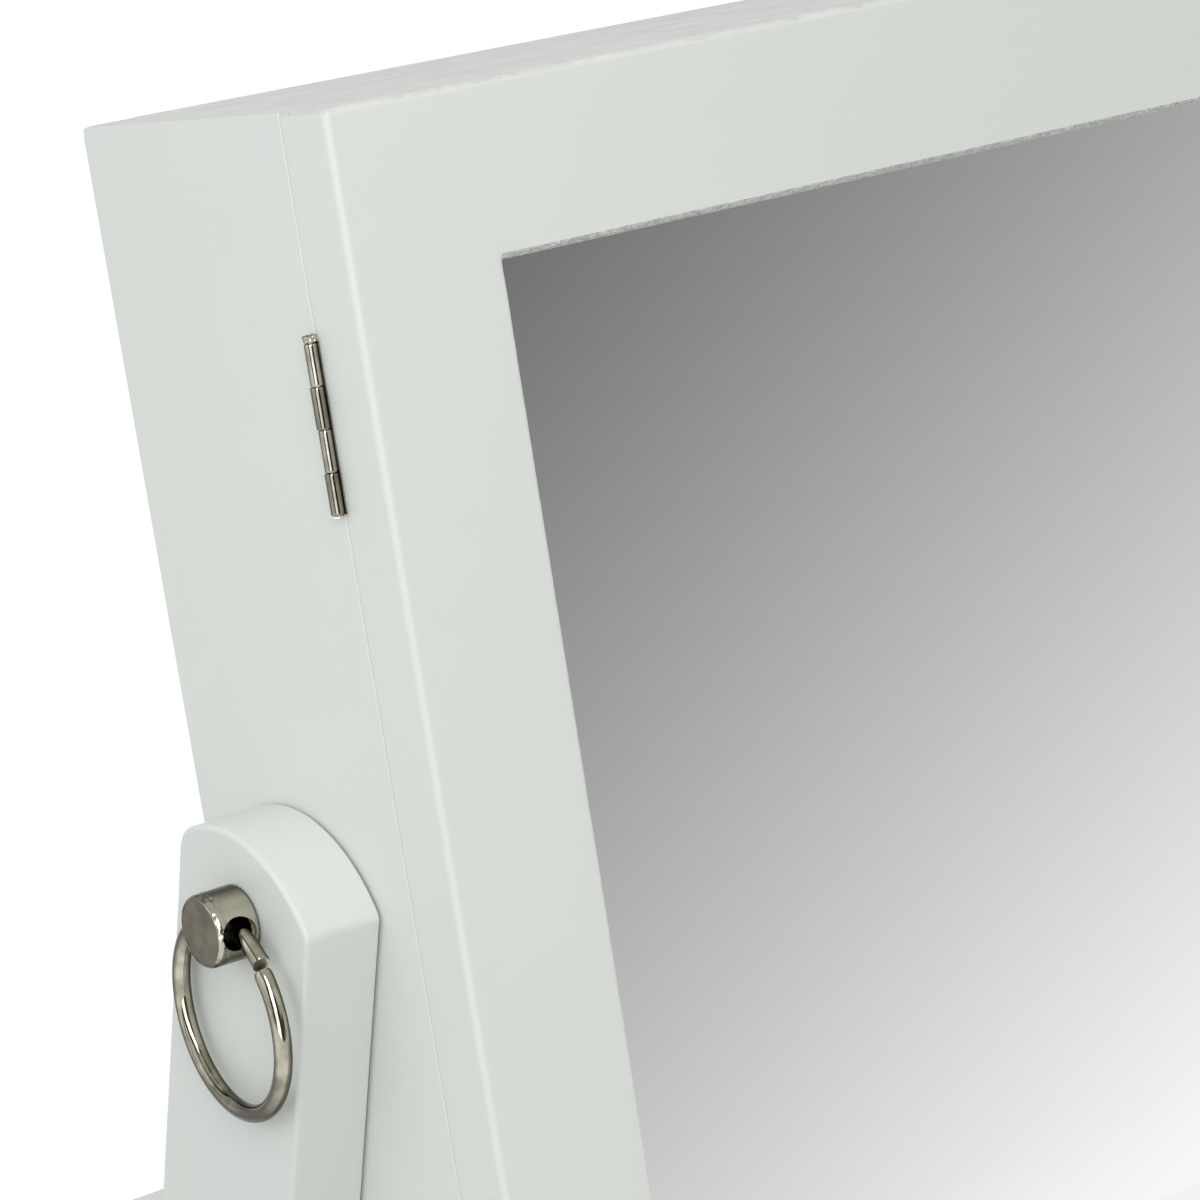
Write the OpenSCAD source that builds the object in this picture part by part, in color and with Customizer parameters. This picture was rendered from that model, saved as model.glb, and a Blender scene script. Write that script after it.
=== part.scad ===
// Tabletop jewelry cabinet with a mirror door, leaning back between the side boards of a low stand.
// +Z is up, the front faces -Y, and +X is to the right as seen from the front.
// The origin is the centre of the stand's underside, straight below the pivot.

/* [Cabinet] */
// Width of the cabinet and of its door
cabinet_w = 250; // [232:1:270]
// Height of the cabinet and of its door
cabinet_h = 300; // [284:1:330]
// Depth of the carcass behind the door
carcass_d = 72; // [66:1:84]
// Thickness of the carcass boards
carcass_t = 12; // [11:0.5:14]
// Thickness of the back panel
back_t = 3; // [2.5:0.5:4]
// Width of the rebate that the back panel lies in
back_rebate_w = 6; // [5:0.5:7]
// Height of the cabinet's top above the pivot
pivot_drop = 149.5; // [143:0.5:155]
// Distance of the pivot behind the front face of the door
pivot_inset = 48.5; // [45:0.5:51]
// Angle by which the cabinet leans back at rest
lean = 22.5; // [12:0.5:28]
// Radius of the painted outer edges of the carcass
carcass_edge_r = 1.5; // [0.5:0.25:2.5]

/* [Door] */
// Thickness of the door board
door_t = 15; // [14:0.5:17]
// Width of the frame around the mirror
frame_w = 33; // [30:0.5:37]
// Thickness of the lip in front of the glass
frame_lip_t = 4; // [3:0.25:4.5]
// Width of the rebate behind the lip
frame_rebate_w = 6; // [4:0.5:8]
// Radius of the outer edges of the door front
door_edge_r = 2; // [1:0.25:3]
// Radius of the edge around the mirror
mirror_edge_r = 1.5; // [0.5:0.25:2]
// Thickness of the mirror glass
glass_t = 3; // [2.5:0.25:3.5]
// Thickness of the board behind the glass
backing_t = 3; // [2.5:0.25:3.5]
// Thickness of the velvet panel inside the door
door_panel_t = 3; // [2.5:0.25:3.25]
// Width of the beads that hold the velvet panel
bead_w = 5; // [4:0.5:7]
// Gap between the closed door and the carcass
seam_gap = 0.5; // [0.3:0.1:0.8]
// Diameter of the door knob's head
door_knob_d = 14; // [11:0.5:17]
// Length of the door knob
door_knob_l = 17; // [14:0.5:22]
// Radius of the dome on the door knob's head
door_knob_dome_r = 21; // [14:1:40]

/* [Stand] */
// Thickness of the side boards
board_t = 16.4; // [14:0.2:18]
// Gap between a side board and the carcass
side_gap = 0.6; // [0.5:0.1:2]
// Front edge of the neck, ahead of the pivot
neck_front = 22.4; // [20:0.2:23.4]
// Back edge of the neck, behind the pivot
neck_back = 22.4; // [19:0.2:25]
// Top of the side boards above the pivot
neck_rise = 16.2; // [15:0.2:24]
// Height of the arc that ends the neck
neck_arc_h = 9; // [7:0.5:12]
// Radius of the neck's upper back corner
neck_corner_r = 7; // [3:0.5:9]
// Height of the pivot above the shoulder at the back
shoulder_drop = 79.5; // [68:0.5:90]
// Depth of the stand, front to back
stand_d = 162; // [152:1:176]
// Height of the foot and of the rails
rail_h = 24; // [20:1:30]
// Thickness of the rails
rail_t = 12; // [10:0.5:15]
// Thickness of the base board
base_t = 12; // [10:0.5:15]
// Thickness of the felt under the base
felt_t = 1.5; // [1:0.25:3]
// Radius of the toe at the front of the foot
toe_r = 10; // [6:0.5:14]
// Radius between the foot and the front edge of the neck
instep_r = 10; // [5:0.5:11]
// Height of the upright cabinet's bottom above the rails
door_clear = 8.5; // [6:0.5:20]
// Air between the base board and the lowest point of the swinging cabinet
sweep_clear = 10; // [6:0.5:24]

/* [Clamp knobs and rings] */
// Diameter of the knob's drum
knob_d = 14.4; // [13:0.2:17]
// Length of the knob's drum
knob_l = 9; // [8.8:0.1:12]
// Width of the bevel round the knob's face
knob_bevel = 0.5; // [0.3:0.1:0.9]
// Diameter of the hole across the knob
cross_hole_d = 6.6; // [6.2:0.1:7]
// Distance of that hole from the board's side of the drum
cross_hole_in = 4.4; // [4.2:0.1:4.6]
// Angle by which the knob is turned at rest, the front end of its hole up
knob_turn = 12; // [0:1:40]
// Diameter of the stud
stud_d = 6; // [5:0.25:7]
// Length of the stud inside the carcass
stud_reach = 9; // [7:0.5:9.5]
// Outer diameter of the pull ring
ring_d = 42; // [36:0.5:48]
// Diameter of the ring's wire
ring_wire_d = 3.6; // [2.6:0.1:3.8]
// Width of the split in the ring
ring_split = 0.9; // [0.4:0.1:2]
// Angle of the split, from the top of the ring towards the front
ring_split_at = 21; // [18:0.5:60]
// Diameter of the pivot washers
washer_d = 20; // [14:0.5:26]
// Outer diameter of the threaded inserts
insert_d = 9.5; // [9:0.25:12]
// Length of the threaded inserts
insert_l = 10; // [9.75:0.25:10.5]

/* [Hinges] */
// Length of a hinge
hinge_l = 33.5; // [30:0.5:44]
// Distance of each hinge from the cabinet's top or bottom edge
hinge_inset = 40; // [30:1:60]
// Number of knuckles of a hinge
knuckles = 4; // [4:2:6]
// Diameter of a knuckle
knuckle_d = 2.6; // [2.4:0.1:3.2]
// Diameter of the hinge pin
hinge_pin_d = 1.3; // [1:0.1:1.4]
// Thickness of a leaf
leaf_t = 0.7; // [0.5:0.1:0.9]
// Width of a leaf, from the pin's axis
leaf_w = 11; // [9:0.5:12]
// Distance of the pin's axis outside the carcass
hinge_out = 1.2; // [1:0.1:1.4]
// Number of screws in a leaf
leaf_screws = 3; // [2:1:4]

/* [Interior] */
// Thickness of the velvet lining boards
lining_t = 1.5; // [1:0.25:2]
// Clear height of the bin below the shelf
bin_h = 45; // [36:1:54]
// Thickness of the shelf
shelf_t = 8; // [6:0.5:10]
// Thickness of the divider
divider_t = 6; // [4:0.5:9]
// Middle of the divider, right of the cabinet's middle
divider_x = 4; // [-6:1:12]
// Height of the guard strips
guard_h = 14; // [9:0.5:18]
// Thickness of the guard strips
guard_t = 3; // [2:0.25:4]
// Height of the necklace bar
necklace_bar_h = 16; // [12:0.5:20]
// Depth of the necklace bar
necklace_bar_d = 12; // [9:0.5:15]
// Distance of the necklace bar below the carcass top
necklace_bar_drop = 5; // [2:0.5:8]
// Number of necklace hooks
necklace_hooks_n = 5; // [3:1:6]
// Diameter of the hooks' wire
hook_wire_d = 1.8; // [1.4:0.1:2.4]
// Radius of the bend of a hook, to the middle of its wire
hook_r = 4.5; // [3.5:0.25:6]
// Number of rolls of the ring cushion
rolls = 6; // [4:1:7]
// Diameter of a roll
roll_d = 13; // [11:0.5:14]
// Thickness of the board behind the rolls
ring_board_t = 3; // [2:0.5:4]
// Distance of that board below the carcass top
ring_board_drop = 7; // [4:0.5:10]
// Number of bracelet pegs
pegs = 2; // [1:1:3]
// Diameter of a bracelet peg
peg_d = 8; // [6:0.5:10]
// Length of a bracelet peg
peg_l = 42; // [34:1:44]
// Distance of the pegs below the ring cushion's board
peg_drop = 22; // [16:1:34]
// Distance of the earring rails from the door's velvet
rail_stand_off = 10; // [7:0.5:12]
// Thickness of the earring rails
earring_rail_t = 2; // [1.5:0.25:3]
// Height of the earring rails
earring_rail_h = 15; // [12:0.5:20]
// Length of the earring rails
earring_rail_l = 164; // [130:1:170]
// Distance of the upper earring rail below the top of the mirror's opening
earring_rail_drop = 38; // [28:1:48]
// Distance between the earring rails
earring_rail_pitch = 70; // [30:1:90]
// Number of holes in a row of an earring rail
earring_holes = 12; // [6:1:13]
// Height of the magnetic catch above the pivot
catch_z = 40; // [30:1:60]

/* [Fasteners] */
// Diameter of the stand's screws
stand_screw_d = 4; // [3.5:0.25:5]
// Length of the stand's screws
stand_screw_l = 36; // [30:1:44]
// Diameter of the dowels
dowel_d = 6; // [5:0.5:7]
// Length of the dowels
dowel_l = 26; // [20:1:30]
// Diameter of the small wood screws
wood_screw_d = 2.2; // [1.8:0.1:2.6]
// Length of the small wood screws
wood_screw_l = 9; // [8:0.5:9.5]

/* [Hidden] */
$fn = 48;

// Clearances, and how far a cut runs past what it cuts
fit = 0.1;
running = 0.05;
seat_gap = 0.2;
slack = 0.3;
over = 1;

// Colours
paint = [0.85, 0.88, 0.86];
nickel = [0.62, 0.59, 0.54];
steel = [0.6, 0.6, 0.6];
brass = [0.72, 0.58, 0.32];
velvet = [0.13, 0.13, 0.14];
timber = [0.78, 0.66, 0.48];
board_brown = [0.5, 0.38, 0.26];
nylon = [0.9, 0.9, 0.88];
silver = [0.75, 0.77, 0.78];

// Planes of the cabinet in its own frame, whose origin is on the pivot
half_w = cabinet_w / 2;
cab_top = pivot_drop;
cab_bottom = pivot_drop - cabinet_h;
cab_middle = (cab_top + cab_bottom) / 2;
door_front = -pivot_inset;
door_back = door_front + door_t;
carcass_front = door_back + seam_gap;
carcass_back = carcass_front + carcass_d;
inner_x = half_w - carcass_t;
carcass_seam_r = carcass_edge_r / 2;
inner_top = cab_top - carcass_t;
inner_bottom = cab_bottom + carcass_t;
back_panel_y = carcass_back - back_t;
lined_x = inner_x - lining_t;
lined_back = back_panel_y - lining_t;
lined_floor = inner_bottom + lining_t;

// Layers of the door, from the mirror to the earring rails
glass_y = door_front + frame_lip_t;
backing_y = glass_y + glass_t;
door_panel_y = backing_y + backing_t;
door_panel_back = door_panel_y + door_panel_t;
opening_x = half_w - frame_w;
opening_top = cab_top - frame_w;
opening_bottom = cab_bottom + frame_w;
pocket_x = opening_x + frame_rebate_w;
pocket_top = opening_top + frame_rebate_w;
pocket_bottom = opening_bottom - frame_rebate_w;
earring_rail_y = door_panel_back + rail_stand_off;
earring_rail_back = earring_rail_y + earring_rail_t;
upper_rail_z = opening_top - earring_rail_drop;
lower_rail_z = upper_rail_z - earring_rail_pitch;
earring_hole_d = 1.6;
earring_post_d = 6;
earring_post_inset = 3;
mitre_gap = 0.3;

// Inner boards, set back to clear the earring rails
inner_front_clear = 4;
inner_front = max(earring_rail_back, door_back) + inner_front_clear;
guard_edge_r = 1;
shelf_z = lined_floor + bin_h;
shelf_top = shelf_z + shelf_t;
divider_left = divider_x - divider_t / 2;
divider_right = divider_x + divider_t / 2;

// Necklace bay
necklace_bar_top = inner_top - necklace_bar_drop;
necklace_bar_z = necklace_bar_top - necklace_bar_h;
necklace_bar_y = lined_back - necklace_bar_d;
necklace_bar_edge_r = 1.5;
hook_end_margin = 14;
hook_neck_l = 2.5;
hook_neck_r = 1.5;
hook_tip_l = 1.5;
hook_screw_in = 8;
hook_collar_l = 1;
hook_first_x = -lined_x + hook_end_margin;
hook_last_x = divider_left - hook_end_margin;
hook_z = necklace_bar_z + necklace_bar_h / 2;

// Ring bay
ring_bay_margin = 6;
ring_board_x0 = divider_right + ring_bay_margin;
ring_board_x1 = lined_x - ring_bay_margin;
ring_board_top = inner_top - ring_board_drop;
roll_gap = 0.4;
roll_pitch = roll_d + roll_gap;
ring_board_rim = 2;
ring_board_z = ring_board_top - rolls * roll_pitch - 2 * ring_board_rim;
ring_board_y = lined_back - ring_board_t;
roll_flat = 2;
peg_z = ring_board_z - peg_drop;
peg_rim = 3.5;
peg_head_d = peg_d + 2 * peg_rim;
peg_head_l = 4;
peg_front_r = 2;
peg_back_r = 1.25;

// Magnetic catch and strike plate
catch_w = 11;
catch_d = 14;
catch_body_h = 22;
catch_ear_h = 7;
catch_ear_t = 3;
magnet_w = 6;
magnet_l = 12;
magnet_h = 17;
catch_x = lined_x - catch_w;
strike_w = 9;
strike_h = 32;
strike_t = 1.2;
strike_x = lined_x - catch_w / 2;
catch_screw_l = 9;
catch_screw_z = catch_body_h / 2 + catch_ear_h / 2;
catch_screw_y = carcass_front + (carcass_edge_r + catch_d) / 2;
strike_screw_inset = 4;

// Door knob
door_knob_x = half_w - frame_w / 2;
door_knob_z = cab_middle;
door_knob_neck_d = 7;
door_knob_foot_d = 11;
door_knob_foot_l = 2;
door_knob_head_l = 6;
door_knob_edge_r = 1.5;
door_knob_screw_d = 4;
door_knob_screw_in = 8;
door_knob_screw_head_d = 8;
door_knob_screw_head_l = 2.5;

// Stand
stand_inner = half_w + side_gap;
stand_outer = stand_inner + board_t;
stand_half_d = stand_d / 2;
below_pivot = cabinet_h - pivot_drop;
front_corner_r = norm([pivot_inset, below_pivot]);
back_corner_r = norm([carcass_back, below_pivot]);
sweep_r = max(front_corner_r, back_corner_r);
base_top = felt_t + base_t;
rail_top = felt_t + rail_h;
pivot_z = max(rail_top + door_clear + below_pivot, base_top + sweep_clear + sweep_r);
neck_w = neck_front + neck_back;
neck_arc_r = (pow(neck_w / 2, 2) + pow(neck_arc_h, 2)) / (2 * neck_arc_h);
neck_arc_y = (neck_back - neck_front) / 2;
neck_top = pivot_z + neck_rise;
neck_arc_z = neck_top - neck_arc_r;
neck_corner_y = neck_back - neck_corner_r;
neck_corner_up = sqrt(pow(neck_arc_r - neck_corner_r, 2) - pow(neck_corner_y - neck_arc_y, 2));
neck_corner_slope = neck_corner_up / (neck_corner_y - neck_arc_y);
shoulder_z = pivot_z - shoulder_drop;
shoulder_rise = shoulder_z - base_top;
shoulder_squares = pow(neck_back, 2) + pow(shoulder_rise, 2) - pow(stand_half_d, 2);
shoulder_y = shoulder_squares / (2 * (neck_back - stand_half_d));
shoulder_r = stand_half_d - shoulder_y;
rail_inset = 2;
back_rail_inset = 5;
front_rail_y = -stand_half_d + rail_inset;
back_rail_y = stand_half_d - back_rail_inset;
rail_edge_r = 2;
felt_inset = 1;

// Screws of the stand: each place is a distance along the depth and a height
screw_spread = 34;
stand_screw_places = [
    [front_rail_y + rail_t / 2, felt_t + rail_h / 2],
    [-screw_spread, felt_t + base_t / 2],
    [screw_spread, felt_t + base_t / 2],
    [back_rail_y - rail_t / 2, felt_t + rail_h / 2]
];
stand_screw_rim = 1.75;
stand_screw_head_d = stand_screw_d + 2 * stand_screw_rim;
stand_screw_head_l = 3;
cap_rim = 2;
cap_d = stand_screw_head_d + 2 * cap_rim;
cap_t = 1;
cap_plug_l = 1.6;
screw_sunk = cap_plug_l + slack;

// Knobs and rings
knob_seat = stand_outer + seat_gap;
knob_r = knob_d / 2;
knob_face = knob_seat + knob_l;
knob_back_bevel = knob_bevel / 2;
cross_hole_x = knob_seat + cross_hole_in;
stud_end = half_w - stud_reach;
ring_r = (ring_d - ring_wire_d) / 2;
wire_r = ring_wire_d / 2;
cross_hole_r = cross_hole_d / 2;
// The wire bends down by this much where it leaves the knob. It rests on the hole's lower rim,
// and lies aside of the hole's middle, towards the board
ring_sag = ring_r - sqrt(pow(ring_r, 2) - pow(knob_r, 2));
ring_slope = asin(knob_r / ring_r);
rim_room = cross_hole_r - wire_r / cos(ring_slope) - running;
ring_aside_share = 0.8;
ring_aside = ring_aside_share * rim_room;
ring_up = ring_sag - sqrt(pow(rim_room, 2) - pow(ring_aside, 2));
ring_x = cross_hole_x - ring_aside;
ring_split_angle = ring_split / ring_r * 180 / PI;
stud_bore_d = stud_d + 2 * running;
washer_bore_d = stud_d + 2 * slack;
washer_t = side_gap - seat_gap;
insert_hole_deep = insert_l + fit;

// Hinges
hinge_x = -half_w - hinge_out;
hinge_y = (door_back + carcass_front) / 2;
upper_hinge_z = cab_top - hinge_inset - hinge_l;
lower_hinge_z = cab_bottom + hinge_inset;
knuckle_r = knuckle_d / 2;
knuckle_gap = 0.15;
knuckle_l = hinge_l / knuckles;
knuckle_room = knuckle_r + seat_gap;
pin_bore_d = hinge_pin_d + 2 * running;
pin_tip = 0.6;
pin_head_rim = 0.4;
pin_head_d = hinge_pin_d + 2 * pin_head_rim;
pin_head_l = 0.7;
leaf_end_x = hinge_x + leaf_w;
leaf_screw_x = (leaf_end_x + half_w) / 2;
leaf_screw_margin = 5;
screw_head_d = 2 * wood_screw_d;
countersink_share = 0.9;

// Dowels and back panel screws
dowel_margin = 16;
dowel_in_side = 8;
panel_screw_margin = 30;
panel_screw_l = 11;
panel_screw_head_l = 1.4;
panel_screw_x = inner_x + back_rebate_w / 2;
panel_screw_places = [
    [panel_screw_x, inner_top - panel_screw_margin],
    [panel_screw_x, cab_middle],
    [panel_screw_x, inner_bottom + panel_screw_margin],
    [-panel_screw_x, inner_top - panel_screw_margin],
    [-panel_screw_x, cab_middle],
    [-panel_screw_x, inner_bottom + panel_screw_margin],
    [0, inner_top + back_rebate_w / 2],
    [0, inner_bottom - back_rebate_w / 2]
];

// Puts a shape of the cabinet's own frame at its leaning place on the stand
module on_cabinet() {
    translate([0, 0, pivot_z]) rotate([-lean, 0, 0]) children();
}

// A box between two places on each axis
module block(x, y, z) {
    translate([x[0], y[0], z[0]]) cube([x[1] - x[0], y[1] - y[0], z[1] - z[0]]);
}

// A profile drawn in Y and Z, drawn out from x0 to x1
module drawn_along_x(x0, x1) {
    translate([x0, 0, 0]) rotate([90, 0, 90]) linear_extrude(x1 - x0) children();
}

// A profile drawn in X and Z, drawn out from y0 to y1
module drawn_along_y(y0, y1) {
    translate([0, y1, 0]) rotate([90, 0, 0]) linear_extrude(y1 - y0) children();
}

// Round bars along each axis
module bar_x(x0, x1, y, z, d) {
    translate([x0, y, z]) rotate([0, 90, 0]) cylinder(h = x1 - x0, d = d);
}

module bar_y(y0, y1, x, z, d) {
    translate([x, y1, z]) rotate([90, 0, 0]) cylinder(h = y1 - y0, d = d);
}

module bar_z(z0, z1, x, y, d) {
    translate([x, y, z0]) cylinder(h = z1 - z0, d = d);
}

// What a rounding of radius r takes off a corner at the origin
module corner_waste(r) {
    difference() {
        translate([-over, -over]) square(r + over);
        translate([r, r]) circle(r);
    }
}

// A rectangle whose corners at its low y side have radius r
module front_rounded(x0, x1, y0, y1, r) {
    difference() {
        translate([x0, y0]) square([x1 - x0, y1 - y0]);
        translate([x0, y0]) corner_waste(r);
        translate([x1, y0]) mirror([1, 0]) corner_waste(r);
    }
}

// An opening that widens at its low y side by a rounding of radius r
module front_flared(x0, x1, y0, y1, r) {
    translate([x0, y0 - over]) square([x1 - x0, y1 - y0 + over]);
    difference() {
        translate([x0 - r, y0 - over]) square([x1 - x0 + 2 * r, r + over]);
        translate([x0 - r, y0 + r]) circle(r);
        translate([x1 + r, y0 + r]) circle(r);
    }
}

// Side boards of the stand
module neck_outline() {
    translate([-neck_front, felt_t]) square([neck_w, neck_top - neck_arc_h - felt_t]);
    intersection() {
        translate([neck_arc_y, neck_arc_z]) circle(neck_arc_r);
        translate([-neck_front, neck_top - neck_arc_h - over]) square([neck_w, neck_arc_h + 2 * over]);
    }
}

// What the rounding takes off the neck's upper back corner
module neck_corner_waste() {
    reach = 2 * neck_corner_r;
    translate([neck_corner_y, neck_arc_z + neck_corner_up]) difference() {
        polygon([[0, 0], [reach, 0], [reach, reach * neck_corner_slope]]);
        circle(neck_corner_r);
    }
}

module board_outline() {
    difference() {
        neck_outline();
        neck_corner_waste();
    }
    intersection() {
        translate([shoulder_y, base_top]) circle(shoulder_r);
        translate([-neck_front, base_top]) square([neck_front + stand_half_d + over, shoulder_z]);
    }
    translate([-neck_front, felt_t]) square([neck_front + stand_half_d, base_t + over]);
    difference() {
        translate([-stand_half_d, felt_t]) square([stand_half_d, rail_h]);
        translate([-stand_half_d, rail_top]) mirror([0, 1]) corner_waste(toe_r);
    }
    difference() {
        translate([-neck_front - instep_r, rail_top - over]) square([instep_r + over, instep_r + over]);
        translate([-neck_front - instep_r, rail_top + instep_r]) circle(instep_r);
    }
}

module side_board() {
    color(paint) difference() {
        drawn_along_x(stand_inner, stand_outer) board_outline();
        bar_x(stand_inner - over, stand_outer + over, 0, pivot_z, stud_bore_d);
        for (p = stand_screw_places) {
            bar_x(stand_inner - over, stand_outer + over, p[0], p[1], stand_screw_d + fit);
            bar_x(
                stand_outer - screw_sunk - stand_screw_head_l, stand_outer + over,
                p[0], p[1], stand_screw_head_d + fit
            );
        }
    }
}

module side_board_right() {
    side_board();
}

module side_board_left() {
    mirror([1, 0, 0]) side_board();
}

// Holes for the stand's screws, in the ends of the base board and the rails
module stand_screw_holes() {
    for (s = [-1, 1], p = stand_screw_places) {
        scale([s, 1, 1])
            bar_x(stand_inner - stand_screw_l, stand_inner + over, p[0], p[1], stand_screw_d + fit);
    }
}

module base_board() {
    color(paint) difference() {
        block(
            [-stand_inner, stand_inner],
            [front_rail_y + rail_t, back_rail_y - rail_t],
            [felt_t, base_top]
        );
        stand_screw_holes();
    }
}

module front_rail() {
    color(paint) difference() {
        drawn_along_x(-stand_inner, stand_inner) difference() {
            translate([front_rail_y, felt_t]) square([rail_t, rail_h]);
            translate([front_rail_y, rail_top]) mirror([0, 1]) corner_waste(toe_r - rail_inset);
        }
        stand_screw_holes();
    }
}

module back_rail() {
    color(paint) difference() {
        drawn_along_x(-stand_inner, stand_inner) difference() {
            translate([back_rail_y - rail_t, felt_t]) square([rail_t, rail_h]);
            translate([back_rail_y, rail_top]) rotate(180) corner_waste(rail_edge_r);
        }
        stand_screw_holes();
    }
}

module base_felt() {
    color(velvet) block(
        [-stand_outer + felt_inset, stand_outer - felt_inset],
        [-stand_half_d + felt_inset, stand_half_d - felt_inset],
        [0, felt_t]
    );
}

// Countersunk screws through the side boards, under plastic caps
module stand_screws() {
    head_x = stand_outer - screw_sunk;
    color(steel) for (s = [-1, 1], p = stand_screw_places) {
        scale([s, 1, 1]) {
            bar_x(head_x - stand_screw_head_l, head_x, p[0], p[1], stand_screw_head_d);
            bar_x(head_x - stand_screw_l, head_x - fit, p[0], p[1], stand_screw_d);
        }
    }
}

module screw_caps() {
    color(paint) for (s = [-1, 1], p = stand_screw_places) {
        scale([s, 1, 1]) {
            bar_x(stand_outer, stand_outer + cap_t, p[0], p[1], cap_d);
            bar_x(stand_outer - cap_plug_l, stand_outer + fit, p[0], p[1], stand_screw_head_d);
        }
    }
}

module pivot_washer() {
    color(nylon) difference() {
        bar_x(stand_inner - washer_t, stand_inner, 0, pivot_z, washer_d);
        bar_x(half_w, stand_inner + over, 0, pivot_z, washer_bore_d);
    }
}

module right_pivot_washer() {
    pivot_washer();
}

module left_pivot_washer() {
    mirror([1, 0, 0]) pivot_washer();
}

// Turns a shape about the pivot with the knob's cross hole
module on_turned_knob() {
    translate([0, 0, pivot_z]) rotate([-knob_turn, 0, 0]) children();
}

// Clamp knob: a turned drum with its stud, drilled across for the ring
module clamp_knob() {
    color(nickel) difference() {
        translate([0, 0, pivot_z]) rotate([0, 90, 0]) rotate_extrude() polygon([
            [0, stud_end],
            [stud_d / 2, stud_end],
            [stud_d / 2, knob_seat],
            [knob_r - knob_back_bevel, knob_seat],
            [knob_r, knob_seat + knob_back_bevel],
            [knob_r, knob_face - knob_bevel],
            [knob_r - knob_bevel, knob_face],
            [0, knob_face]
        ]);
        on_turned_knob() bar_y(-knob_d, knob_d, cross_hole_x, 0, cross_hole_d);
    }
}

module right_clamp_knob() {
    clamp_knob();
}

module left_clamp_knob() {
    mirror([1, 0, 0]) clamp_knob();
}

// Split ring that hangs in the cross hole, with its split towards the front
module pull_ring() {
    color(nickel) on_turned_knob() translate([ring_x, 0, ring_up - ring_r]) rotate([90, 0, 90])
        rotate(90 + ring_split_at + ring_split_angle / 2)
            rotate_extrude(angle = 360 - ring_split_angle) translate([ring_r, 0]) circle(wire_r);
}

module right_pull_ring() {
    pull_ring();
}

module left_pull_ring() {
    mirror([1, 0, 0]) pull_ring();
}

// Carcass
module dowel_places() {
    for (s = [-1, 1], z = [cab_top - carcass_t / 2, cab_bottom + carcass_t / 2]) {
        for (y = [carcass_front + dowel_margin, carcass_back - dowel_margin]) {
            translate([s * inner_x, y, z]) scale([s, 1, 1]) children();
        }
    }
}

module dowel(clear) {
    translate([dowel_in_side + clear, 0, 0]) rotate([0, -90, 0])
        cylinder(h = dowel_l + 2 * clear, d = dowel_d + clear);
}

module carcass_dowels() {
    color(timber) on_cabinet() dowel_places() dowel(0);
}

module back_panel_room() {
    block(
        [-inner_x - back_rebate_w, inner_x + back_rebate_w],
        [back_panel_y, carcass_back + over],
        [inner_bottom - back_rebate_w, inner_top + back_rebate_w]
    );
}

module panel_screws(clear) {
    for (p = panel_screw_places) {
        bar_y(carcass_back - panel_screw_l - clear, carcass_back, p[0], p[1], wood_screw_d + clear);
    }
}

// A side board of the carcass, with its outer edges rounded and mitred
module carcass_side() {
    difference() {
        intersection() {
            translate([0, 0, cab_bottom]) linear_extrude(cabinet_h) difference() {
                translate([inner_x, carcass_front]) square([carcass_t, carcass_d]);
                translate([half_w, carcass_back]) rotate(180) corner_waste(carcass_edge_r);
                translate([half_w, carcass_front]) mirror([1, 0]) corner_waste(carcass_seam_r);
            }
            drawn_along_y(carcass_front, carcass_back) difference() {
                translate([inner_x, cab_bottom]) square([carcass_t, cabinet_h]);
                translate([half_w, cab_top]) rotate(180) corner_waste(carcass_edge_r);
                translate([half_w, cab_bottom]) mirror([1, 0]) corner_waste(carcass_edge_r);
            }
        }
        bar_x(half_w - insert_hole_deep, half_w + over, 0, 0, insert_d + fit);
        dowel_places() dowel(fit);
        back_panel_room();
        panel_screws(fit);
    }
}

module carcass_side_right() {
    color(paint) on_cabinet() difference() {
        carcass_side();
        catch_screw_bars(fit);
    }
}

module carcass_side_left() {
    color(paint) on_cabinet() difference() {
        mirror([1, 0, 0]) carcass_side();
        for (z = [upper_hinge_z, lower_hinge_z]) {
            hinge_room(z, carcass_front - over, carcass_front + leaf_t);
            hinge_screw_holes(z, carcass_front, 1);
        }
    }
}

module carcass_cross_board(z) {
    color(paint) on_cabinet() difference() {
        block([-inner_x, inner_x], [carcass_front, carcass_back], [z, z + carcass_t]);
        dowel_places() dowel(fit);
        back_panel_room();
        panel_screws(fit);
    }
}

module carcass_top() {
    carcass_cross_board(inner_top);
}

module carcass_bottom() {
    carcass_cross_board(cab_bottom);
}

module back_panel() {
    color(paint) on_cabinet() difference() {
        block(
            [-inner_x - back_rebate_w + slack, inner_x + back_rebate_w - slack],
            [back_panel_y, carcass_back],
            [inner_bottom - back_rebate_w + slack, inner_top + back_rebate_w - slack]
        );
        panel_screws(fit);
    }
}

module back_panel_screws() {
    color(steel) on_cabinet() {
        panel_screws(0);
        for (p = panel_screw_places) {
            bar_y(carcass_back, carcass_back + panel_screw_head_l, p[0], p[1], screw_head_d);
        }
    }
}

module threaded_insert() {
    color(brass) translate([0, 0, pivot_z]) difference() {
        bar_x(half_w - insert_l, half_w, 0, 0, insert_d);
        bar_x(half_w - insert_l - over, half_w + over, 0, 0, stud_bore_d);
    }
}

module right_threaded_insert() {
    threaded_insert();
}

module left_threaded_insert() {
    mirror([1, 0, 0]) threaded_insert();
}

// Velvet lining
module velvet_back() {
    color(velvet) on_cabinet()
        block([-inner_x, inner_x], [lined_back, back_panel_y], [inner_bottom, inner_top]);
}

module velvet_side() {
    block([lined_x, inner_x], [carcass_front + carcass_edge_r, lined_back], [inner_bottom, inner_top]);
}

module velvet_right() {
    color(velvet) on_cabinet() difference() {
        velvet_side();
        catch_screw_bars(fit);
    }
}

module velvet_left() {
    color(velvet) on_cabinet() mirror([1, 0, 0]) velvet_side();
}

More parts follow.
